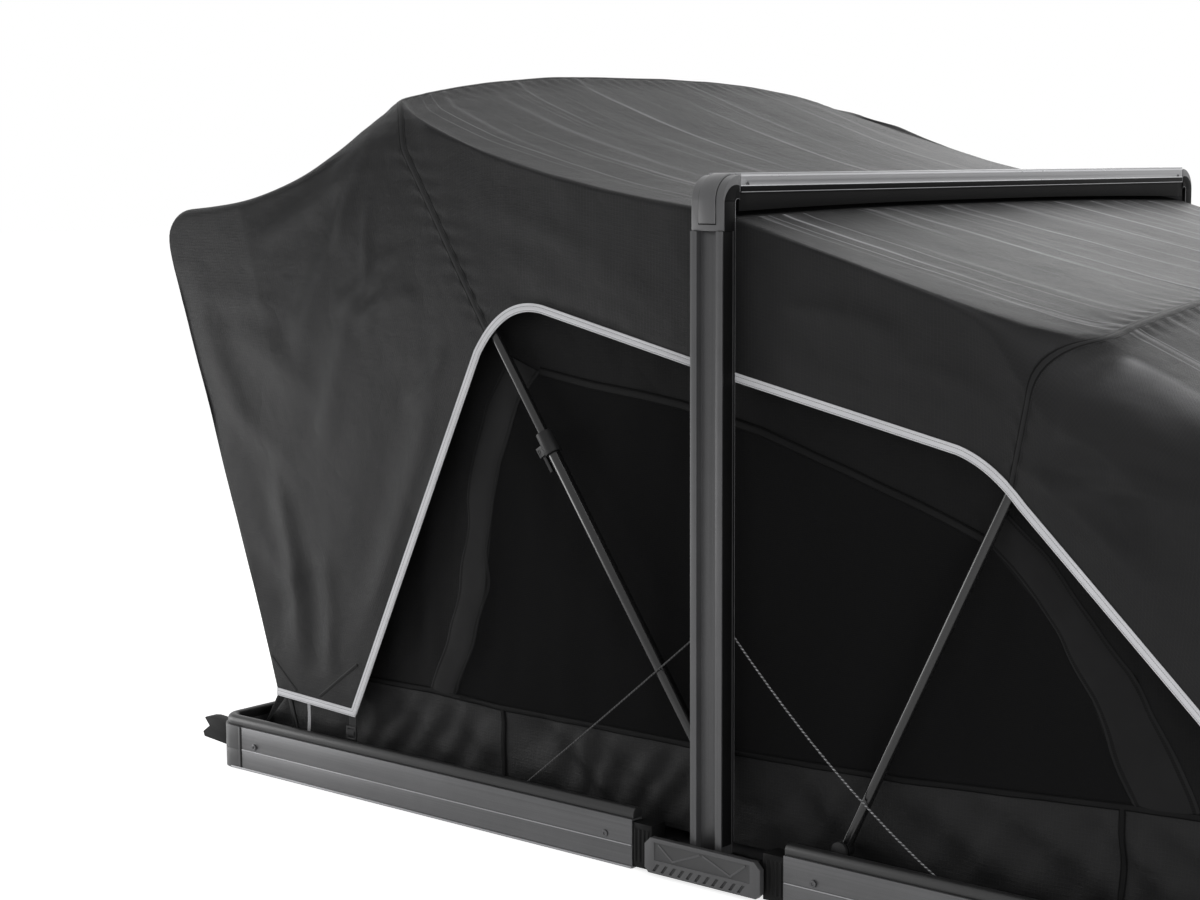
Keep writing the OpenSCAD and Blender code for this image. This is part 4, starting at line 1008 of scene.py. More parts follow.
# Pulls what stands outside a fillet back onto it; each point has its own corner
def roundCorner(points, corner, along, down, radius):
    along, down = along / np.linalg.norm(along), down / np.linalg.norm(down)
    turn = math.acos(along @ down) / 2
    reach = radius / math.tan(turn)
    middle = corner + (along + down) / np.linalg.norm(along + down) * radius / math.sin(turn)
    share = np.linalg.solve(np.stack([along, down], axis=1), (points - corner).T).T
    off = points - middle
    far = np.linalg.norm(off, axis=1, keepdims=True)
    outside = (share < reach).all(axis=1)[:, None] & (far > radius)
    return np.where(outside, middle + off * radius / np.maximum(far, 1e-9), points)


# Rows across the roof: close together beside each crease, so that it stays sharp
roofStep = {"beside": (-0.020, -0.012, -0.0065, -0.003, 0.0, 0.003, 0.0065, 0.012, 0.020), "margin": 0.002,
            "least": 0.0018, "most": 0.014}


def roofRows(lines, reach):
    places = {-reach, reach}
    for line in lines:
        beside = [line[0] + step for step in roofStep["beside"]]
        places.update(round(place, 4) for place in beside if abs(place) < reach - roofStep["margin"])
    rows = [-reach]
    for place in sorted(places)[1:]:
        gap = place - rows[-1]
        if gap < roofStep["least"]:
            continue
        extra = int(gap / roofStep["most"])
        rows += [rows[-1] + gap * (i + 1) / (extra + 1) for i in range(extra)]
        rows.append(place)
    return np.array(rows)


# Place along a line in X and Z, from 0 to 1, and the distance beside it
def besideLine(points, x0, z0, x1, z1, shift=0.0):
    run = np.array((x1 - x0, z1 - z0))
    rel = points[:, [0, 2]] - np.array((x0, z0)) - shift
    return rel @ run / (run @ run), (rel[:, 0] * run[1] - rel[:, 1] * run[0]) / np.linalg.norm(run)


def hill(distance, width):
    return np.exp(-(distance / width) ** 2)


# Net of one half of the fly: columns run from the hoop to the eave
def flyGrid(side):
    cut, half, lines = flyCut[side], flyCut["halfWidth"], roofLines[side]
    cuts, ridge = flyCut["cuts"], flyCut["ridge"]
    fromLow = cuts[1] * flyCut["hoopHalf"] / -cut["shoulder"][0][0]
    fromTop = ridge * flyCut["hoopHalf"] / -cut["peak"][0]
    w = np.linspace(0, 1, flyCut["centreColumns"] + 1)
    stops = [np.linspace(a, b, n + 1)[1:] for a, b, n in
             zip((ridge, *cuts[2:]), cuts[2:], flyCut["eaveColumns"])]
    uLow = np.concatenate([lerp(fromLow, ridge, w), *stops])
    uTop = np.concatenate([lerp(fromTop, ridge, w), *stops])
    low, top = lowerEdge(cut, uLow), roofEdge(cut, uTop)
    bends = heightAt(cut["bend"], uTop)
    reach = half - bends[0]
    crown = np.interp(uTop, (0, ridge, 1), (flyCut["hoopCrown"], *cut["crown"]))
    shift = cut["seamShift"] * hill(uTop - ridge, flyCut["shiftWide"]) * ease(uTop / flyCut["shiftRise"])
    wall = np.linspace(0, 1, flyCut["wallRows"] + 1)
    turn = np.radians(np.linspace(0, 90, flyCut["bendRows"] + 2)[1:-1])
    rowsHoop = roofRows(lines, reach)
    knotsHoop = [-reach, *(p[0] for p in lines), reach]
    knotsBow = [-reach, *(p[1] for p in lines), reach]
    rowsBow = np.interp(rowsHoop, knotsHoop, knotsBow)
    columns = []
    for k in range(len(uLow)):
        lowX, lowZ = low[k]
        topX, topZ = top[k]
        bend = bends[k]
        nearWall = [(lerp(lowX, topX + shift[k], v), -half, lerp(lowZ, topZ - bend, v)) for v in wall]
        nearBend = [(topX + shift[k] * math.cos(a), -half + bend * (1 - math.cos(a)),
                     topZ - bend * (1 - math.sin(a))) for a in turn]
        narrow = (half - bend) / reach
        across = lerp(rowsHoop, rowsBow, min(1.0, uTop[k] / ridge))
        rounded = 1 - np.abs(across / reach) ** flyCut["crownShape"]
        roof = [(topX, y * narrow, topZ + crown[k] * high) for y, high in zip(across, rounded)]
        near = nearWall + nearBend
        columns.append(near + roof + [(x, -y, z) for x, y, z in reversed(near)])
    grid = np.array(columns)
    count, rows = grid.shape[:2]
    return {"points": grid.reshape(-1, 3), "faces": netFaces(count, rows), "count": count, "rows": rows,
            "walls": len(wall), "seam": flyCut["centreColumns"], "uTop": uTop, "rowsHoop": rowsHoop}


# End panel under the eave, with its raised lower edge
def addEndPanel(net, opening):
    points, rows, walls = net["points"], net["rows"], net["walls"]
    first = len(points)
    last = first - rows
    crossing = rows - 2 * walls
    topRow = points[last + walls:last + rows - walls]
    corner = points[last]
    rise = 1 - np.abs(topRow[:, 1] / flyCut["halfWidth"]) ** 4
    lowZ = lerp(corner[2], opening, rise)
    endPoints = []
    for v in np.linspace(0, 1, walls)[:-1]:
        z = lerp(lowZ, topRow[:, 2], v)
        q = (z - corner[2]) / (topRow[:, 2] - corner[2])
        endPoints.append(np.stack([lerp(corner[0], topRow[:, 0], q), topRow[:, 1], z], axis=1))

    def endIndex(v, m):
        if m == 0:
            return last + v
        if m == crossing + 1:
            return last + rows - 1 - v
        if v == walls - 1:
            return last + walls - 1 + m
        return first + v * crossing + m - 1

    endFaces = [(endIndex(v, m), endIndex(v + 1, m), endIndex(v + 1, m + 1), endIndex(v, m + 1))
                for v in range(walls - 1) for m in range(crossing + 1)]
    net.update(points=np.concatenate([points, *endPoints]), faces=np.array(net["faces"] + endFaces),
               mainFaces=len(net["faces"]))


# Strength, reach and rounds of each smoothing, and the rows below and above the roof's edge
flySoften = {"eave": (0.5, 1.25, 8), "seam": (0.5, 1.5, 5), "turn": (0.4, 3), "turnRows": (6, 14),
             "seamWide": 3.0, "seamSoft": 5.0}


# Rounds the eave, the ridge and the roof edge, with the lower edges held
def softenFly(net, cut):
    points, rows, walls, count = (net[key] for key in ("points", "rows", "walls", "count"))
    first = count * rows
    last = first - rows
    crossing = rows - 2 * walls
    ends = edgesOf(net["faces"], len(points))
    held = np.ones(len(points))
    rowOf = np.concatenate([np.tile(np.arange(rows), count), np.full(len(points) - first, -1)])
    columnOf = np.concatenate([np.repeat(np.arange(count), rows), np.full(len(points) - first, count)])
    held[(rowOf == 0) | (rowOf == rows - 1)] = 0
    held[first:first + crossing] = 0
    held[columnOf == 0] = 0
    eaveLine = points[last:last + rows].copy()
    toEave = np.concatenate([np.sqrt(((part[:, None] - eaveLine[None, ::4]) ** 2).sum(2)).min(1)
                             for part in np.array_split(points, 20)])
    rowNear = np.concatenate([np.tile(np.clip(np.arange(rows), walls - 1, rows - walls), count),
                              np.tile(walls + np.arange(crossing), walls - 1)])
    inward = roofEdge(cut, np.array((0.97, 1.0)))
    points[:, [0, 2]] = roundCorner(points[:, [0, 2]], eaveLine[rowNear][:, [0, 2]], inward[0] - inward[1],
                                    np.array(cut["flap"][1]) - inward[1], flyCut["eaveRound"])
    strength, reach, rounds = flySoften["eave"]
    points = relax(points, ends, strength * held * ease(reach - toEave / flyDrape["eaveSoft"]), rounds)
    toSeam = np.abs(columnOf - net["seam"])
    raised = flyDrape["seamLift"] * hill(toSeam, flySoften["seamWide"])
    points[:, 2] += raised * (rowOf >= walls) * (rowOf < rows - walls)
    strength, reach, rounds = flySoften["seam"]
    points = relax(points, ends, strength * held * ease(reach - toSeam / flySoften["seamSoft"]), rounds)
    below, above = flySoften["turnRows"]
    nearTurn = (rowOf > walls - below) & (rowOf < walls + above)
    farTurn = (rowOf > rows - walls - above) & (rowOf < rows - walls + below)
    strength, rounds = flySoften["turn"]
    points = relax(points, ends, strength * held * (nearTurn | farTurn), rounds)
    net.update(points=points, held=held, rowOf=rowOf, columnOf=columnOf, toSeam=toSeam)


def spanShape(share, level, start, rise, fadeStart, fade, loss):
    return level * ease((share - start) / rise) * (1 - loss * ease((share - fadeStart) / fade))


def ridgeAndValley(distance, width, deep, beside, wide):
    return hill(distance, width) - deep * hill(distance + beside * width, wide * width)


def wandering(place, n, middle, swing, pace, step, most):
    return np.clip(middle + swing * np.sin(pace * place + step * n), 0, most)


# Creases on the roof, folds on the walls, and the slack between the bows, with painted sheen on the creases
# and the roof edge
def creaseFly(net, side):
    points, rows, walls, held = (net[key] for key in ("points", "rows", "walls", "held"))
    rowOf, columnOf, toSeam = (net[key] for key in ("rowOf", "columnOf", "toSeam"))
    lift, worn = np.zeros(len(points)), np.zeros(len(points))
    share = np.clip(net["uTop"] / flyCut["ridge"], 0, 2)[np.minimum(columnOf, net["count"] - 1)]
    taper, shown = (spanShape(share, *creaseSpan[side][key]) for key in ("taper", "shown"))
    roofPart = (rowOf >= walls + flyCut["bendRows"]) & (rowOf < rows - walls - flyCut["bendRows"])
    rowPlace = np.zeros(len(points))
    rowPlace[roofPart] = net["rowsHoop"][rowOf[roofPart] - walls - flyCut["bendRows"]]
    for n, (place, _, height, width) in enumerate(roofLines[side]):
        d = rowPlace - place
        shape = ridgeAndValley(d, width, *flyDrape["roofValley"])
        wander = wandering(points[:, 0], n, *flyDrape["wander"])
        lift += flyDrape["crease"] * height * shape * taper * wander * roofPart
        # Painted sheen: a pale line along each crease
        streak = hill(d, 0.8 * width) + 0.10 * hill(d - 2 * width, 4 * width)
        worn += flyDrape["creasePale"] * height * streak * shown * wander * roofPart
    # Painted highlight along the bend of the roof's edge
    folded = np.minimum(np.abs(rowOf - walls - 4), np.abs(rows - 1 - rowOf - walls - 4))
    wander = wandering(points[:, 0], 0, *flyDrape["edgeWander"])
    worn += flyDrape["edgePale"] * hill(folded, 2.0) * (rowOf >= 0) * wander
    lie = np.stack([points[:, 0], rowPlace, shown * roofPart], axis=1)
    offRoof = np.abs(rowPlace) < 0.001
    start, end = flyDrape["lineEnds"]
    # Painted highlight on the pull lines beside the bow's corners
    for *line, strength, width in cornerLines[side]:
        t, d = besideLine(points, *line)
        worn += strength * hill(d, width) * ease(t / start) * ease((1 - t) / end) * offRoof
    onWall = (rowOf >= 0) & ((rowOf < walls + 3) | (rowOf >= rows - walls - 3))
    far = points[:, 1] > 0
    start, end = flyDrape["foldEnds"]
    for n, (*line, height, width) in enumerate(wallFolds[side]):
        shift = np.where(far, flyDrape["farShift"] * math.sin(3.1 * n), 0.0)[:, None]
        t, d = besideLine(points, *line, shift)
        d = d + flyDrape["foldSway"] * np.sin(5.0 * t + n)
        shape = ridgeAndValley(d, width, *flyDrape["wallValley"])
        lift += flyDrape["fold"] * height * shape * ease(t / start) * ease((1 - t) / end) * onWall
    slack = roughness(points, flyDrape["slackScale"], flyDrape["slackSeed"][side])
    fine = roughness(points * np.array((1.0, 1.0, 0.6)), flyDrape["fineScale"], 2.0)
    lift += (flyDrape["slack"] * slack + flyDrape["fine"] * fine) * held
    paceUp, paceAcross = flyDrape["puckerPace"]
    pucker = np.sin(points[:, 2] * paceUp + points[:, 1] * paceAcross)
    pucker = pucker * np.exp(-np.maximum(toSeam - 1, 0) / flyDrape["puckerFade"])
    lift += flyDrape["pucker"] * pucker * (toSeam > 1) * held
    lift *= ease((np.minimum(rowOf, rows - 1 - rowOf) + 1) / 5.0) * (rowOf >= 0) + (rowOf < 0)
    lift *= ease(columnOf / 4.0)
    net.update(points=points + vertexNormals(points, net["faces"]) * lift[:, None], lie=lie,
               worn=np.clip(worn, 0, flyDrape["palest"]))


def flyHalf(side):
    net = flyGrid(side)
    addEndPanel(net, flyCut[side]["opening"])
    softenFly(net, flyCut[side])
    creaseFly(net, side)
    if side == "head":
        net["points"] = net["points"] * mirrorX
        net["faces"] = net["faces"][:, ::-1]
    return net


def mainGrid(net):
    return net["points"][:net["count"] * net["rows"]].reshape(net["count"], net["rows"], 3)


def clothUv(net):
    grid = mainGrid(net)
    along, up = np.zeros(grid.shape[:2]), np.zeros(grid.shape[:2])
    along[1:] = np.cumsum(np.linalg.norm(np.diff(grid, axis=0), axis=2), axis=0)
    up[:, 1:] = np.cumsum(np.linalg.norm(np.diff(grid, axis=1), axis=2), axis=1)
    main = np.stack([along, up], axis=2).reshape(-1, 2)
    return np.concatenate([main, net["points"][len(main):][:, [1, 2]]])


def takeFaces(name, net, uv, wanted):
    faces = net["faces"][wanted]
    used, flat = np.unique(faces, return_inverse=True)
    piece = meshPiece(name, net["points"][used], flat.reshape(-1, 4), uv[used])
    # The crease attribute carries the painted sheen
    crease = piece.data.attributes.new("crease", "FLOAT", "POINT")
    crease.data.foreach_set("value", net["worn"][used].astype(np.float32))
    lie = piece.data.attributes.new("roofLie", "FLOAT_VECTOR", "POINT")
    lie.data.foreach_set("vector", net["lie"][used].astype(np.float32).ravel())
    return piece


def sheetPiece(piece, group, flat, area, carriers, replaced):
    thicken(piece, flyCut["thick"], -1.0)
    dressSoft(piece, 55, "flyCloth", "fly_cloth", group)
    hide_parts(replaced)
    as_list(carriers)


def pieceArea(piece):
    return sum(face.area for face in piece.data.polygons)


flyNets = {side: flyHalf(side) for side in ("door", "head")}
flySheets = {
    "door": {"centre": ("flyDoorCentre", (0.82, 2.44), 1.51), "eave": ("flyDoorEave", (1.30, 3.40), 2.86),
             "carriers": ["main_bow", "eave_rod_door"], "node": "fly_door_half"},
    "head": {"centre": ("flyHeadCentre", (0.68, 1.99), 1.20), "eave": ("flyHeadEave", (1.05, 2.80), 2.27),
             "carriers": ["front_bow", "eave_rod_head"], "node": "fly_head_half"},
}
for side, net in flyNets.items():
    sheet = flySheets[side]
    uv = clothUv(net)
    index = np.arange(len(net["faces"]))
    column = index // (net["rows"] - 1)
    onMain = index < net["mainFaces"]
    inCentre = onMain & (column < net["seam"])
    for part, wanted in (("centre", inCentre), ("eave", ~inCentre)):
        name, flat, area = sheet[part]
        piece = takeFaces(name, net, uv, wanted)
        print(name, "area", round(pieceArea(piece), 3), "faces", len(piece.data.polygons))
        sheetPiece(piece, side + part.capitalize(), flat, area, sheet["carriers"], sheet["node"])


# Rows of stitching on the side walls: reinforced flap corners
stitching = {"half": 0.0030, "step": 0.006, "rise": 0.0007, "flat": 0.010, "wide": 0.0062, "lift": 0.0002,
             "thick": 0.0005, "steps": (-1.0, -0.5, 0.0, 0.5, 1.0), "rises": (0.2, 1.1, 0.6, 1.1, 0.2),
             "lines": {
    "door": (((-1.086, 0.226), (-1.016, 0.168)), ((-0.950, 0.168), (-0.846, 0.243))),
    "head": (((-1.128, 0.268), (-1.139, 0.170)), ((-1.060, 0.262), (-1.136, 0.168)))}}


def stitchLines(side):
    net = flyNets[side]
    along = -1.0 if side == "head" else 1.0
    tree = BVHTree.FromPolygons(net["points"].tolist(), net["faces"].tolist())
    wide = len(stitching["steps"])
    points, faces, uv, total = [], [], [], 0.0
    for (x0, z0), (x1, z1) in stitching["lines"][side]:
        start, end = np.array((x0 * along, z0)), np.array((x1 * along, z1))
        length = float(np.linalg.norm(end - start))
        beside = np.array((start[1] - end[1], end[0] - start[0])) / length * stitching["half"]
        count = round(length / stitching["step"])
        for across in (-1.0, 1.0):
            faces += movedFaces(netFaces(count + 1, wide), len(points))
            for i in range(count + 1):
                for step, rise in zip(stitching["steps"], stitching["rises"]):
                    x, z = lerp(start, end, i / count) + beside * step
                    hit = tree.ray_cast(Vector((x, across, z)), Vector((0, -across, 0)))[0]
                    hit = hit or Vector((x, across * flyCut["halfWidth"], z))
                    out = across * (stitching["lift"] + stitching["rise"] * rise)
                    points.append((hit.x, hit.y + out, hit.z))
                    uv.append((length * i / count, (step + 1) / 2))
            total += length
    piece = meshPiece("flyStitching" + side.capitalize(), points, faces, uv)
    thicken(piece, stitching["thick"])
    closeNormals(piece)
    dressSoft(piece, 50, "stitchLine", "fly_cloth", side + "Eave")


for side in flyNets:
    stitchLines(side)


# Ribbon laid over a net along one column: the seam over a bow
seamBand = {"half": 0.0085, "rise": 0.0004, "lift": 0.0004, "reach": 8,
            "steps": (-1.0, -0.62, -0.5, -0.38, 0.0, 0.38, 0.5, 0.62, 1.0),
            "heights": (0.05, 0.9, 0.35, 0.9, 1.15, 0.9, 0.35, 0.9, 0.05), "thick": 0.0005}


def alongRow(line, distance):
    total = runOf(line)
    return np.array([np.interp(distance, total, line[:, axis]) for axis in range(3)])


def seamOver(name, side):
    net = flyNets[side]
    rows, seam, reach = net["rows"], net["seam"], seamBand["reach"]
    grid = mainGrid(net)
    normals = vertexNormals(net["points"], net["faces"])[seam * rows:(seam + 1) * rows]
    lines = []
    for i in range(rows):
        before, after = grid[seam - reach:seam + 1, i][::-1], grid[seam:seam + reach + 1, i]
        row = []
        for step, height in zip(seamBand["steps"], seamBand["heights"]):
            base = alongRow(before if step < 0 else after, abs(step) * seamBand["half"])
            row.append(base + normals[i] * (seamBand["lift"] + seamBand["rise"] * height))
        lines.append(row)
    lines = np.array(lines)
    wide = len(seamBand["steps"])
    along = runOf(lines[:, wide // 2])
    uv = [(s, (step + 1) / 2) for s in along for step in seamBand["steps"]]
    faces = netFaces(rows, wide)
    if side == "door":
        faces = [face[::-1] for face in faces]
    piece = meshPiece(name, lines.reshape(-1, 3), faces, uv)
    thicken(piece, seamBand["thick"], -1.0)
    dressSoft(piece, 50, "seamBand", "fly_cloth", side + "Centre")


seamOver("seamMainBow", "door")
seamOver("seamFrontBow", "head")


# Edge binding: a folded tape swept along the lower edges
bindingTape = {"width": 0.013, "half": 0.0018, "flat": 0.017, "mitre": (1.0, 1.6), "sharpest": 0.6,
               "section": ((-0.0020, 1.00), (0.0010, 1.05), (0.0028, 0.80), (0.0046, 1.10), (0.0065, 1.18),
                           (0.0086, 1.10), (0.0102, 0.80), (0.0118, 1.00), (0.0128, 0.45))}


def sweepTape(edge, side, outward):
    edge = np.asarray(edge, float)
    before = np.diff(edge, axis=0, prepend=2 * edge[:1] - edge[1:2])
    after = np.diff(edge, axis=0, append=2 * edge[-1:] - edge[-2:-1])
    before /= np.linalg.norm(before, axis=1, keepdims=True)
    after /= np.linalg.norm(after, axis=1, keepdims=True)
    tangent = before + after
    size = np.linalg.norm(tangent, axis=1, keepdims=True)
    mitre = np.clip(2.0 / np.maximum(size, bindingTape["sharpest"]), *bindingTape["mitre"])
    tangent /= np.maximum(size, 1e-9)
    out = np.array((0.0, outward, 0.0))
    down = np.cross(out, tangent) * side
    ring = [(d, n * bindingTape["half"]) for d, n in bindingTape["section"]]
    ring += [(d, -n) for d, n in reversed(ring)]
    loop = np.array(ring)
    points = (edge[:, None] + down[:, None] * (mitre * loop[None, :, 0])[:, :, None]
              + out * loop[None, :, 1][:, :, None])
    along = runOf(edge)
    uv = [(s, d / bindingTape["width"]) for s in along for d, _ in ring]
    return points.reshape(-1, 3), ringFaces(len(edge), len(loop)), uv, float(along[-1])


def joinParts(parts):
    points, faces, uv, length = [], [], [], 0.0
    for partPoints, partFaces, partUv, partLength in parts:
        faces += movedFaces(partFaces, len(points))
        points += [tuple(p) for p in partPoints]
        uv += partUv
        length += partLength
    return points, faces, uv, length


def bindingPiece(name, side, part, edges, node):
    turn = 1 if side == "door" else -1
    points, faces, uv, length = joinParts([sweepTape(edge, turn, out) for edge, out in edges])
    piece = meshPiece(name, points, faces, uv)
    closeNormals(piece)
    dressSoft(piece, 50, "binding", "edge_binding", part)
    if node:
        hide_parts(node)
    print(name, "length", round(length, 3))


for side, net in flyNets.items():
    grid, seam = mainGrid(net), net["seam"]
    for part, cut in (("Centre", slice(0, seam + 1)), ("Eave", slice(seam, None))):
        edges = [(grid[cut, 0], -1.0), (grid[cut, -1][::-1], 1.0)]
        bindingPiece("binding" + side.capitalize() + part, side, side + part, edges, f"binding_{side}_half")


# Band of fly cloth under the hoop, between the two halves
hoopCloth = {"columns": 9, "overlap": 1.1, "lift": 0.0006, "flat": 0.066}


def hoopBand():
    doorRim, headRim = (net["points"][:net["rows"]] for net in flyNets.values())
    steps = np.linspace(0, 1, hoopCloth["columns"])
    total, doorTotal = runOf(headRim), runOf(doorRim)
    place = doorTotal / doorTotal[-1] * total[-1]
    matched = np.stack([np.interp(place, total, headRim[:, axis]) for axis in range(3)], axis=1)
    outward = np.gradient(doorRim, axis=0)
    outward = np.cross(outward, np.array((1.0, 0.0, 0.0)))
    outward /= -np.linalg.norm(outward, axis=1, keepdims=True)
    points, uv = [], []
    for t in steps:
        spread = hoopCloth["overlap"] * (2 * t - 1)
        points.append(lerp(doorRim, matched, (spread + 1) / 2) + outward * hoopCloth["lift"])
        uv += [(flyCut["hoopHalf"] * spread, s) for s in doorTotal]
    faces = [face[::-1] for face in netFaces(len(steps), len(doorRim))]
    piece = meshPiece("flyHoopBand", np.concatenate(points), faces, uv)
    length = float(doorTotal[-1])
    sheetPiece(piece, "hoop", (hoopCloth["flat"], round(length, 2)), None, ["hoop_crossbar"], "fly_door_half")
    for (label, across), end in zip(bothSides, (0, -1)):
        edge = np.array([line[end] for line in points])[::-across]
        bindingPiece("bindingHoop" + label, "head", "hoop", [(edge, float(across))], None)


hoopBand()
print("fly done")


# Inner tent: level hem, skirt, net windows with wide bands, and a roof under the fly
innerCut = {
    "halfWidth": 0.732, "bend": 0.06, "hem": 0.060, "split": 0.10, "crown": 0.012, "thick": 0.0008,
    "topLine": ((-1.152, 0.075), (-1.0, 0.38), (-0.775, 1.225), (0.0, 1.040), (0.616, 0.832), (1.0, 0.38),
                (1.152, 0.075)),
    "skirtSeam": ((-1.152, 0.205), (-0.69, 0.212), (-0.52, 0.206), (-0.28, 0.208), (-0.09, 0.209),
                  (0.06, 0.213), (0.33, 0.222), (0.55, 0.237), (0.72, 0.249), (1.152, 0.27)),
    "leftInner": ((-0.627, 0.212), (-0.578, 0.320), (-0.550, 0.415), (-0.536, 0.513), (-0.512, 0.643),
                  (-0.463, 0.756), (-0.414, 0.811)),
    "leftOuter": ((-0.691, 0.212), (-0.648, 0.311), (-0.617, 0.407), (-0.597, 0.507), (-0.573, 0.638),
                  (-0.542, 0.751), (-0.490, 0.835)),
    "rightInner": ((0.470, 0.611), (0.517, 0.566), (0.556, 0.530), (0.598, 0.478), (0.650, 0.397),
                   (0.682, 0.328), (0.720, 0.249)),
    "rightOuter": ((0.505, 0.665), (0.563, 0.610), (0.610, 0.560), (0.656, 0.510), (0.712, 0.447),
                   (0.760, 0.375), (0.823, 0.258)),
    "topSeam": ((-0.414, 0.811), (-0.300, 0.795), (-0.191, 0.785), (-0.106, 0.774), (0.06, 0.742),
                (0.20, 0.700), (0.34, 0.655), (0.470, 0.611)),
    "skirtRows": 16, "netRows": 40, "upperRows": 22, "bendRows": 5, "roofRows": 22, "columnStep": 0.007,
    "end": 1.150, "seamEnd": 1.05, "skirtFlat": 0.16, "roofFlat": 2.9, "netFlat": 0.61,
    "joins": (("Door", -0.51, 0.204), ("Head", 0.703, 0.246)), "joinHalf": 0.005, "joinFoot": 0.062,
    "skirtShare": 0.55, "skirtHalf": 0.006, "topHalf": 0.008, "bendShare": 0.6,
}
windowTop = (*innerCut["leftInner"], *innerCut["topSeam"][1:-1], *innerCut["rightInner"])


def skirtTop(x):
    tallest = lerp(innerCut["hem"], heightAt(innerCut["topLine"], x), innerCut["skirtShare"])
    return np.minimum(heightAt(innerCut["skirtSeam"], x), tallest)


# How far the side wall lies inside its plane: slack net, a full skirt and soft folds
innerDrape = {"lie": 0.0015, "range": (-0.0035, 0.05), "net": 0.013, "netEnds": (-0.66, 0.76), "netFade": 0.2,
              "skirt": 0.0045, "skirtFold": 0.0042, "skirtFine": 0.0012, "wall": 0.0052, "wallFine": 0.0030,
              "wallFade": 0.08, "upright": 0.0032, "uprightEnd": -0.62, "uprightFade": 0.1,
              "skirtWaves": ((1.0, 34.0, 46.0, 6.0), (0.6, 71.0, -38.0, 9.0)), "skirtShape": 0.8,
              "uprightWave": (58.0, 5.0)}


def innerDepth(x, z):
    seam = skirtTop(x)
    place = np.stack([x, np.zeros_like(x), z], axis=1)
    broad = roughness(place * np.array((1.0, 1.0, 0.7)), 4.5, 3.0)
    fine = roughness(place * np.array((1.0, 1.0, 0.45)), 15.0, 6.0)
    inWindow = (x > windowTop[0][0]) & (x < windowTop[-1][0])
    ceiling = np.where(inWindow, heightAt(windowTop, x), seam + 0.5)
    t = np.clip((z - seam) / np.maximum(ceiling - seam, 0.02), 0, 1)
    (start, end), fade = innerDrape["netEnds"], innerDrape["netFade"]
    net = innerDrape["net"] * np.sin(math.pi * t) * ease((x - start) / fade) * ease((end - x) / fade)
    k = np.clip((z - innerCut["hem"]) / np.maximum(seam - innerCut["hem"], 0.01), 0, 1)
    slant = sum(share * np.sin(paceX * x + paceZ * z + sway * broad)
                for share, paceX, paceZ, sway in innerDrape["skirtWaves"])
    full = np.sin(math.pi * k) ** innerDrape["skirtShape"]
    skirt = (innerDrape["skirt"] - innerDrape["skirtFold"] * slant) * full
    skirt += innerDrape["skirtFine"] * fine
    wall = (innerDrape["wall"] * broad + innerDrape["wallFine"] * fine) * ease(t / innerDrape["wallFade"])
    fade = innerDrape["uprightFade"]
    paceX, sway = innerDrape["uprightWave"]
    upright = innerDrape["upright"] * np.sin(paceX * x + sway * broad)
    upright *= ease((innerDrape["uprightEnd"] - x) / fade) * ease((z - seam) / fade)
    return np.clip(innerDrape["lie"] + np.where(z < seam, skirt, net + wall + upright), *innerDrape["range"])


def innerColumns(low, high):
    corners = [p[0] for p in windowTop]
    marks = sorted({low, high, *(c for c in corners if low < c < high)})
    columns = []
    for a, b in zip(marks[:-1], marks[1:]):
        count = max(1, round((b - a) / innerCut["columnStep"]))
        columns += [lerp(a, b, i / count) for i in range(count)]
    return np.array(columns + [high])


# Adds the far side wall to the near one
def withFarSide(near, faces):
    farFaces = movedFaces([face[::-1] for face in faces], len(near))
    return np.concatenate([near, near * mirrorY]), faces + farFaces


# Both side walls between two heights, as one piece
def innerWalls(columns, low, high, rows):
    t = np.linspace(0, 1, rows + 1)
    x = np.repeat(columns, rows + 1)
    z = (low[:, None] + (high - low)[:, None] * t).ravel()
    near = np.stack([x, innerDepth(x, z) - innerCut["halfWidth"], z], axis=1)
    uv = np.concatenate([near[:, [0, 2]], near[:, [0, 2]] + np.array((0.0, 2.0))])
    return *withFarSide(near, netFaces(len(columns), rows + 1, turned=True)), uv


# Upper side walls and roof in one tunnel
def innerTunnel(columns, low):
    half, bend = innerCut["halfWidth"], innerCut["bend"]
    top = heightAt(innerCut["topLine"], columns)
    turn = np.radians(np.linspace(0, 90, innerCut["bendRows"] + 2)[1:-1])
    rows, uv = [], []
    for x, z0, z1 in zip(columns, low, top):
        corner = min(bend, innerCut["bendShare"] * (z1 - z0))
        z = np.linspace(z0, z1 - corner, innerCut["upperRows"] + 1)
        depth = innerDepth(np.full(len(z), x), z)
        near = [(x, d - half, h) for d, h in zip(depth, z)]
        near += [(x, depth[-1] - half + corner * (1 - math.cos(a)), z1 - corner * (1 - math.sin(a)))
                 for a in turn]
        start = depth[-1] - half + corner
        across = np.linspace(start, -start, innerCut["roofRows"] + 1)
        roof = [(x, y, z1 + innerCut["crown"] * (1 - (y / start) ** 2)) for y in across]
        line = np.array(near + roof + [(a, -b, c) for a, b, c in reversed(near)])
        rows.append(line)
        uv += [(x, r) for r in z0 + runOf(line)]
    return np.concatenate(rows), netFaces(len(columns), len(rows[0]), turned=True), np.array(uv)


def innerSheet(name, made, finish, group, node, tall):
    piece = meshPiece(name, *made)
    thicken(piece, innerCut["thick"], -1.0)
    dressSoft(piece, 60, finish, "inner_cloth", group)
    if node:
        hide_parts(node)


# Ribbon sewn on both side walls between two lines
ribbon = {"steps": (0.0, 0.04, 0.08, 0.12, 0.3, 0.5, 0.7, 0.88, 0.92, 0.96, 1.0),
          "heights": (0.1, 1.0, 0.55, 1.0, 1.25, 1.35, 1.25, 1.0, 0.55, 1.0, 0.1),
          "rise": 0.0014, "lift": 0.0004, "thick": 0.0006}


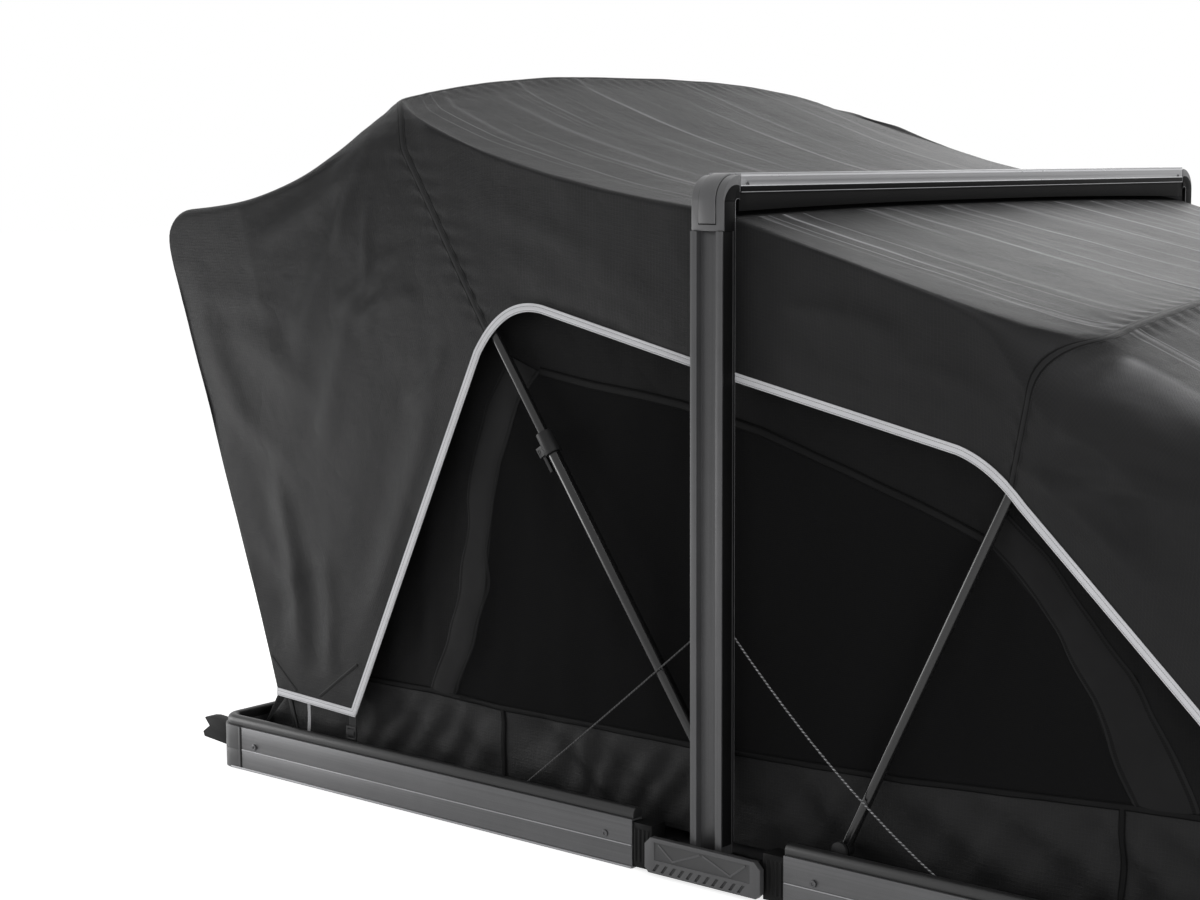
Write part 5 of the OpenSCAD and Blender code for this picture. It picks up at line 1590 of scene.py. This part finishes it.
def evenly(line, count):
    line = np.array(line, float)
    total = runOf(line)
    place = np.linspace(0, total[-1], count)
    return np.stack([np.interp(place, total, line[:, 0]), np.interp(place, total, line[:, 1])], axis=1)


def innerRibbon(name, first, second, group, finish="innerSeam", pieces=64, wave=0.0):
    a, b = evenly(first, pieces), evenly(second, pieces)
    for n, line in enumerate((a, b)):
        place = np.stack([line[:, 0], np.full(pieces, 3.0 * n), line[:, 1]], axis=1)
        line += wave * roughness(place, 13.0, 5.0)[:, None] * np.array((1.0, 0.25))
    along = runOf((a + b) / 2)
    steps = ribbon["steps"]
    flat = np.concatenate([lerp(a, b, t) for t in steps])
    rise = ribbon["lift"] + ribbon["rise"] * np.repeat(ribbon["heights"], pieces)
    depth = innerDepth(flat[:, 0], flat[:, 1]) - rise
    near = np.stack([flat[:, 0], depth - innerCut["halfWidth"], flat[:, 1]], axis=1)
    uv = [(s, t) for t in steps for s in along] * 2
    piece = meshPiece(name, *withFarSide(near, netFaces(len(steps), pieces)), uv)
    if piece.data.polygons[0].normal.y > 0:
        piece.data.flip_normals()
    thicken(piece, ribbon["thick"], -1.0)
    dressSoft(piece, 50, finish, "inner_cloth", group)


def strip(line, low, high, half):
    inside = [p for p in line if low < p[0] < high]
    ends = [(x, float(heightAt(line, x))) for x in (max(low, line[0][0]), min(high, line[-1][0]))]
    middle = [ends[0], *inside, ends[1]]
    return [(x, z - half) for x, z in middle], [(x, z + half) for x, z in middle]


def innerTent():
    split, end, seamEnd = innerCut["split"], innerCut["end"], innerCut["seamEnd"]
    parts = (("Door", -end, -split, "doorInner", "inner_door_half"), ("Hoop", -split, split, "hoop", None),
             ("Head", split, end, "headInner", "inner_head_half"))
    for label, low, high, group, node in parts:
        columns = innerColumns(low, high)
        hem = np.full(len(columns), innerCut["hem"])
        seam = skirtTop(columns)
        inWindow = (columns >= windowTop[0][0] - 0.0001) & (columns <= windowTop[-1][0] + 0.0001)
        openTop = np.where(inWindow, np.maximum(heightAt(windowTop, columns), seam), seam)
        innerSheet("innerSkirt" + label, innerWalls(columns, hem, seam, innerCut["skirtRows"]), "skirtCloth",
                   group, node, innerCut["skirtFlat"])
        innerSheet("innerRoof" + label, innerTunnel(columns, openTop), "innerCloth", group, None,
                   innerCut["roofFlat"])
        cut = columns[inWindow]
        net = innerWalls(cut, seam[inWindow], openTop[inWindow], innerCut["netRows"])
        innerSheet("innerNet" + label, net, "windowNet", group, None,
                   innerCut["netFlat"])
        seamLine = strip(innerCut["skirtSeam"], max(low, -seamEnd), min(high, seamEnd), innerCut["skirtHalf"])
        innerRibbon("innerSkirtSeam" + label, *seamLine, group, pieces=90)
        seamLine = strip(innerCut["topSeam"], low, high, innerCut["topHalf"])
        innerRibbon("innerTopSeam" + label, *seamLine, group, pieces=70)
    innerRibbon("innerBandDoor", innerCut["leftOuter"], innerCut["leftInner"], "doorInner", "innerBand",
                wave=0.010)
    innerRibbon("innerBandHead", innerCut["rightInner"], innerCut["rightOuter"], "headInner", "innerBand",
                wave=0.008)
    for label, x, top in innerCut["joins"]:
        edges = [[(x + step, innerCut["joinFoot"]), (x + step, top)]
                 for step in (-innerCut["joinHalf"], innerCut["joinHalf"])]
        innerRibbon("innerSkirtJoin" + label, *edges, label.lower() + "Inner", pieces=24)


innerTent()
print("inner tent done")


# Spring rods under the eaves, carried with the fly's body
for side in ("door", "head"):
    packSoft(bevelCopy("eave_rod_" + side, "rod", 0.0004), side + "Eave")


# Flap straps: webbing from the fly's corner through a ladder buckle to the tray's hook
flapStrap = {"door": (-0.862, 0.150), "head": (1.125, 0.150), "face": 0.7655, "foot": 0.060, "width": 0.020,
             "thick": 0.0014, "edge": 0.0003, "steps": (-1.0, -0.8, -0.4, 0.0, 0.4, 0.8, 1.0),
             "buckleZ": 0.111, "buckle": 0.026, "bar": 0.004, "buckleDeep": 0.0036, "buckleOut": 0.0012,
             "lay": -0.0004, "loopTop": 0.013, "loopFoot": 0.020, "midBar": 0.8, "lip": 0.001,
             "round": 0.0009, "node": {"door": "straps_base", "head": "straps_flip"},
             "carrier": {"door": "base_anchors", "head": "flip_anchors"},
             "through": ((0.0022, 0.008), (0.0058, 0.003), (0.0062, -0.002), (0.0030, -0.008),
                         (-0.0004, -0.013))}


def webbingRibbon(name, x, side, across, line, group):
    line = np.array(line, float)
    half, steps = flapStrap["width"] / 2, flapStrap["steps"]
    along = runOf(line)
    points = [(x + step * half, across * (flapStrap["face"] + out), z) for out, z in line for step in steps]
    uv = [(s, (step + 1) / 2) for s in along for step in steps]
    piece = meshPiece(name, points, netFaces(len(line), len(steps)), uv)
    thicken(piece, flapStrap["thick"])
    applyModifier(piece, "BEVEL", "webEdge", width=flapStrap["edge"], segments=1, limit_method="ANGLE")
    closeNormals(piece)
    dressSoft(piece, 40, "webbing", "webbing", group)
    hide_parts(flapStrap["node"][side])


def ladderBuckle(name, x, across, group):
    size, bar, deep = (flapStrap[key] for key in ("buckle", "bar", "buckleDeep"))
    edge = size / 2
    middle = bar * flapStrap["midBar"]
    columns = (-edge, -edge + bar, 0.0, edge - bar, edge)
    rows = (-edge, -edge + bar, -middle, middle, edge - bar, edge - flapStrap["lip"], edge)
    buckle = startShape(name, bpy.ops.mesh.primitive_grid_add, x_subdivisions=4, y_subdivisions=6, size=size)
    mesh = buckle.data
    for vertex in mesh.vertices:
        i, j = round((vertex.co.x / size + 0.5) * 4), round((vertex.co.y / size + 0.5) * 6)
        vertex.co = (columns[i], rows[j], 0.0)
    bpy.ops.object.mode_set(mode="EDIT")
    bpy.ops.mesh.select_all(action="DESELECT")
    bpy.ops.object.mode_set(mode="OBJECT")
    for face in mesh.polygons:
        inside = abs(face.center.x) < edge - bar
        face.select = inside and middle < abs(face.center.y) < edge - bar
    bpy.ops.object.mode_set(mode="EDIT")
    bpy.ops.mesh.delete(type="FACE")
    bpy.ops.object.mode_set(mode="OBJECT")
    editMesh(buckle, (bpy.ops.mesh.extrude_region_move, {"TRANSFORM_OT_translate": {"value": (0, 0, deep)}}))
    closeNormals(buckle)
    applyModifier(buckle, "BEVEL", "roundedBars", width=flapStrap["round"], segments=3, limit_method="ANGLE")
    stand = Matrix.Rotation(math.radians(90), 4, "X")
    out = across * (flapStrap["face"] + flapStrap["buckleOut"]) + (deep if across > 0 else 0.0)
    buckle.data.transform(Matrix.Translation((x, out, flapStrap["buckleZ"])) @ stand)
    closeNormals(buckle)
    dressSoft(buckle, 40, "moulded", "moulded_plastic", group)


def flapStraps():
    foot, middle, lay = (flapStrap[key] for key in ("foot", "buckleZ", "lay"))
    for side in ("door", "head"):
        x, top = flapStrap[side]
        line = [(lay, z) for z in np.linspace(top, middle + flapStrap["loopTop"], 8)]
        line += [(out, middle + z) for out, z in flapStrap["through"]]
        line += [(lay, z) for z in np.linspace(middle - flapStrap["loopFoot"], foot, 5)]
        for label, across in bothSides:
            name = side.capitalize() + label
            webbingRibbon("strap" + name, x, side, across, line, side + "Cord")
            ladderBuckle("strapBuckle" + name, x, across, side + "Cord")


flapStraps()


# Thin elastic that holds the door flap's foot inside the tray
flapElastic = {"x": -0.985, "face": 0.7635, "top": 0.158, "foot": 0.066, "width": 0.0075, "thick": 0.0010,
               "flat": (0.010, 0.093), "pieces": 12, "lean": (-0.010, 0.004), "inward": 0.004}


def flapElastics():
    half, steps = flapElastic["width"] / 2, (-1.0, 0.0, 1.0)
    z = np.linspace(flapElastic["top"], flapElastic["foot"], flapElastic["pieces"])
    t = np.linspace(0, 1, flapElastic["pieces"])
    slope, bow = flapElastic["lean"]
    lean = slope * t + bow * np.sin(math.pi * t)
    for label, across in bothSides:
        face = across * (flapElastic["face"] - flapElastic["inward"] * t)
        points = [(flapElastic["x"] + shift + step * half, y, h) for shift, y, h in zip(lean, face, z)
                  for step in steps]
        uv = [(h, (step + 1) / 2) for h in z for step in steps]
        piece = meshPiece("flapElastic" + label, points, netFaces(len(z), len(steps)), uv)
        thicken(piece, flapElastic["thick"])
        closeNormals(piece)
        dressSoft(piece, 40, "elastic", "webbing", "doorCord")


flapElastics()
print("straps done")


# Mattress: a quilted pad swollen by cloth simulation, made once and mirrored for the other tray
mattress = {"tray": (-1.150, -0.180, 0.718, 0.0300, 0.0640), "spine": (-0.078, 0.078, 0.718, 0.0300, 0.0620),
            "voxel": 0.012, "pressure": 4.0, "frames": 20, "cap": 0.005, "edge": 0.010, "tuft": 0.0035,
            "quilt": 0.16, "groove": 0.010, "upper": 0.012}


def startPad(name, low, high, half, bottom, top):
    pad = startShape(name, bpy.ops.mesh.primitive_cube_add, size=1,
                     location=((low + high) / 2, 0, (bottom + top) / 2),
                     scale=(high - low, 2 * half, top - bottom))
    bpy.ops.object.transform_apply(location=True, rotation=True, scale=True)
    applyModifier(pad, "BEVEL", "padEdge", width=mattress["edge"], segments=4)
    applyModifier(pad, "REMESH", "padNet", mode="VOXEL", voxel_size=mattress["voxel"])
    return pad


def meshPoints(piece):
    points = np.empty(len(piece.data.vertices) * 3)
    piece.data.vertices.foreach_get("co", points)
    return points.reshape(-1, 3)


def setPoints(piece, points):
    piece.data.vertices.foreach_set("co", np.asarray(points, float).ravel())
    piece.data.update()


def swellPad(pad):
    before = meshPoints(pad)
    cloth = pad.modifiers.new("padCloth", "CLOTH")
    cloth.settings.use_pressure = True
    cloth.settings.uniform_pressure_force = mattress["pressure"]
    cloth.settings.effector_weights.gravity = 0
    for step in range(1, mattress["frames"] + 1):
        scene.frame_set(step)
    activate(pad)
    bpy.ops.object.modifier_apply(modifier="padCloth")
    scene.frame_set(1)
    moved = meshPoints(pad) - before
    size = np.linalg.norm(moved, axis=1, keepdims=True)
    moved *= np.minimum(1.0, mattress["cap"] / np.maximum(size, 1e-9))
    points = before + moved
    low, high = points.min(0), points.max(0)
    quilt = mattress["quilt"]
    waves = []
    for axis in (0, 1):
        place = (points[:, axis] - low[axis]) / (high[axis] - low[axis])
        count = max(1, round((high[axis] - low[axis]) / quilt))
        waves.append(np.abs(np.sin(math.pi * place * count)) * quilt / math.pi)
    upper = ease((points[:, 2] - (low[2] + high[2]) / 2) / mattress["upper"])
    points[:, 2] -= mattress["tuft"] * hill(np.minimum(*waves), mattress["groove"]) * upper
    setPoints(pad, points)
    applyModifier(pad, "SUBSURF", "padSmooth", levels=1, render_levels=1)


def finishPad(pad, body):
    dressRigid(pad, 70, "padCover", "foam_pad", body)
    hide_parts(body + "_mattress")


def mattressPads():
    tray = startPad("mattressBase", *mattress["tray"])
    swellPad(tray)
    mirrored = tray.copy()
    mirrored.data = tray.data.copy()
    mirrored.name = "mattressFlip"
    scene.collection.objects.link(mirrored)
    setPoints(mirrored, meshPoints(mirrored) * mirrorX)
    mirrored.data.flip_normals()
    spine = startPad("mattressSpine", *mattress["spine"])
    swellPad(spine)
    for pad, body in ((tray, "base"), (mirrored, "flip"), (spine, "spine")):
        finishPad(pad, body)


mattressPads()
print("mattress done")


# Stage and light
studio = {"floor": 60, "drop": -0.0006, "paper": (0.9, 0.9, 0.9, 1.0), "glow": 0.76, "sky": (0.34, 1.0)}


def seenRays(tree):
    path = addNode(tree, "LightPath")
    seen = mathNode(tree, "MAXIMUM", path.outputs["Is Camera Ray"], path.outputs["Is Glossy Ray"])
    return mathNode(tree, "MAXIMUM", seen, path.outputs["Is Transmission Ray"])


def makeStage():
    floor = startShape("studioFloor", bpy.ops.mesh.primitive_plane_add, size=studio["floor"],
                       location=(0, 0, studio["drop"]))
    material = bpy.data.materials.new("studioFloor")
    material.use_nodes = True
    tree = material.node_tree
    tree.nodes.clear()
    output = tree.nodes.new("ShaderNodeOutputMaterial")
    paper = addNode(tree, "BsdfDiffuse", {"Color": studio["paper"]})
    glow = addNode(tree, "Emission", {"Strength": mathNode(tree, "MULTIPLY", seenRays(tree), studio["glow"])})
    both = addNode(tree, "AddShader", {0: paper.outputs[0], 1: glow.outputs[0]})
    tree.links.new(both.outputs[0], output.inputs[0])
    floor.data.materials.append(material)


def softBox(name, place, target, size, power):
    data = bpy.data.lights.new(name, "AREA")
    data.shape = "RECTANGLE"
    data.size, data.size_y = size
    data.energy = power
    lamp = bpy.data.objects.new(name, data)
    scene.collection.objects.link(lamp)
    lamp.location = place
    lamp.rotation_euler = (Vector(target) - Vector(place)).to_track_quat("-Z", "Y").to_euler()


def makeWorld():
    world = bpy.data.worlds.new("studio")
    scene.world = world
    world.use_nodes = True
    tree = world.node_tree
    tree.nodes.clear()
    output = tree.nodes.new("ShaderNodeOutputWorld")
    strength = rangeNode(tree, seenRays(tree), *studio["sky"])
    sky = addNode(tree, "Background", {"Color": (1, 1, 1, 1), "Strength": strength})
    tree.links.new(sky.outputs[0], output.inputs[0])


# Place, target, size and power of each soft box
softBoxes = {
    "topBox": ((0.6, 0.6, 3.6), (0.1, 0.0, 0.9), (3.4, 2.6), 64),
    "backBox": ((0.2, 3.0, 2.5), (0.3, 0.0, 1.0), (4.0, 1.4), 33),
    "leftBox": ((-2.35, -1.45, 0.30), (-1.10, -0.77, 0.40), (1.0, 1.2), 18),
    "rightBox": ((3.0, -2.1, 0.9), (0.9, -0.77, 0.45), (1.2, 1.2), 29),
}
makeStage()
makeWorld()
for name, setup in softBoxes.items():
    softBox(name, *setup)
scene.view_settings.view_transform = "Standard"
print("stage done")
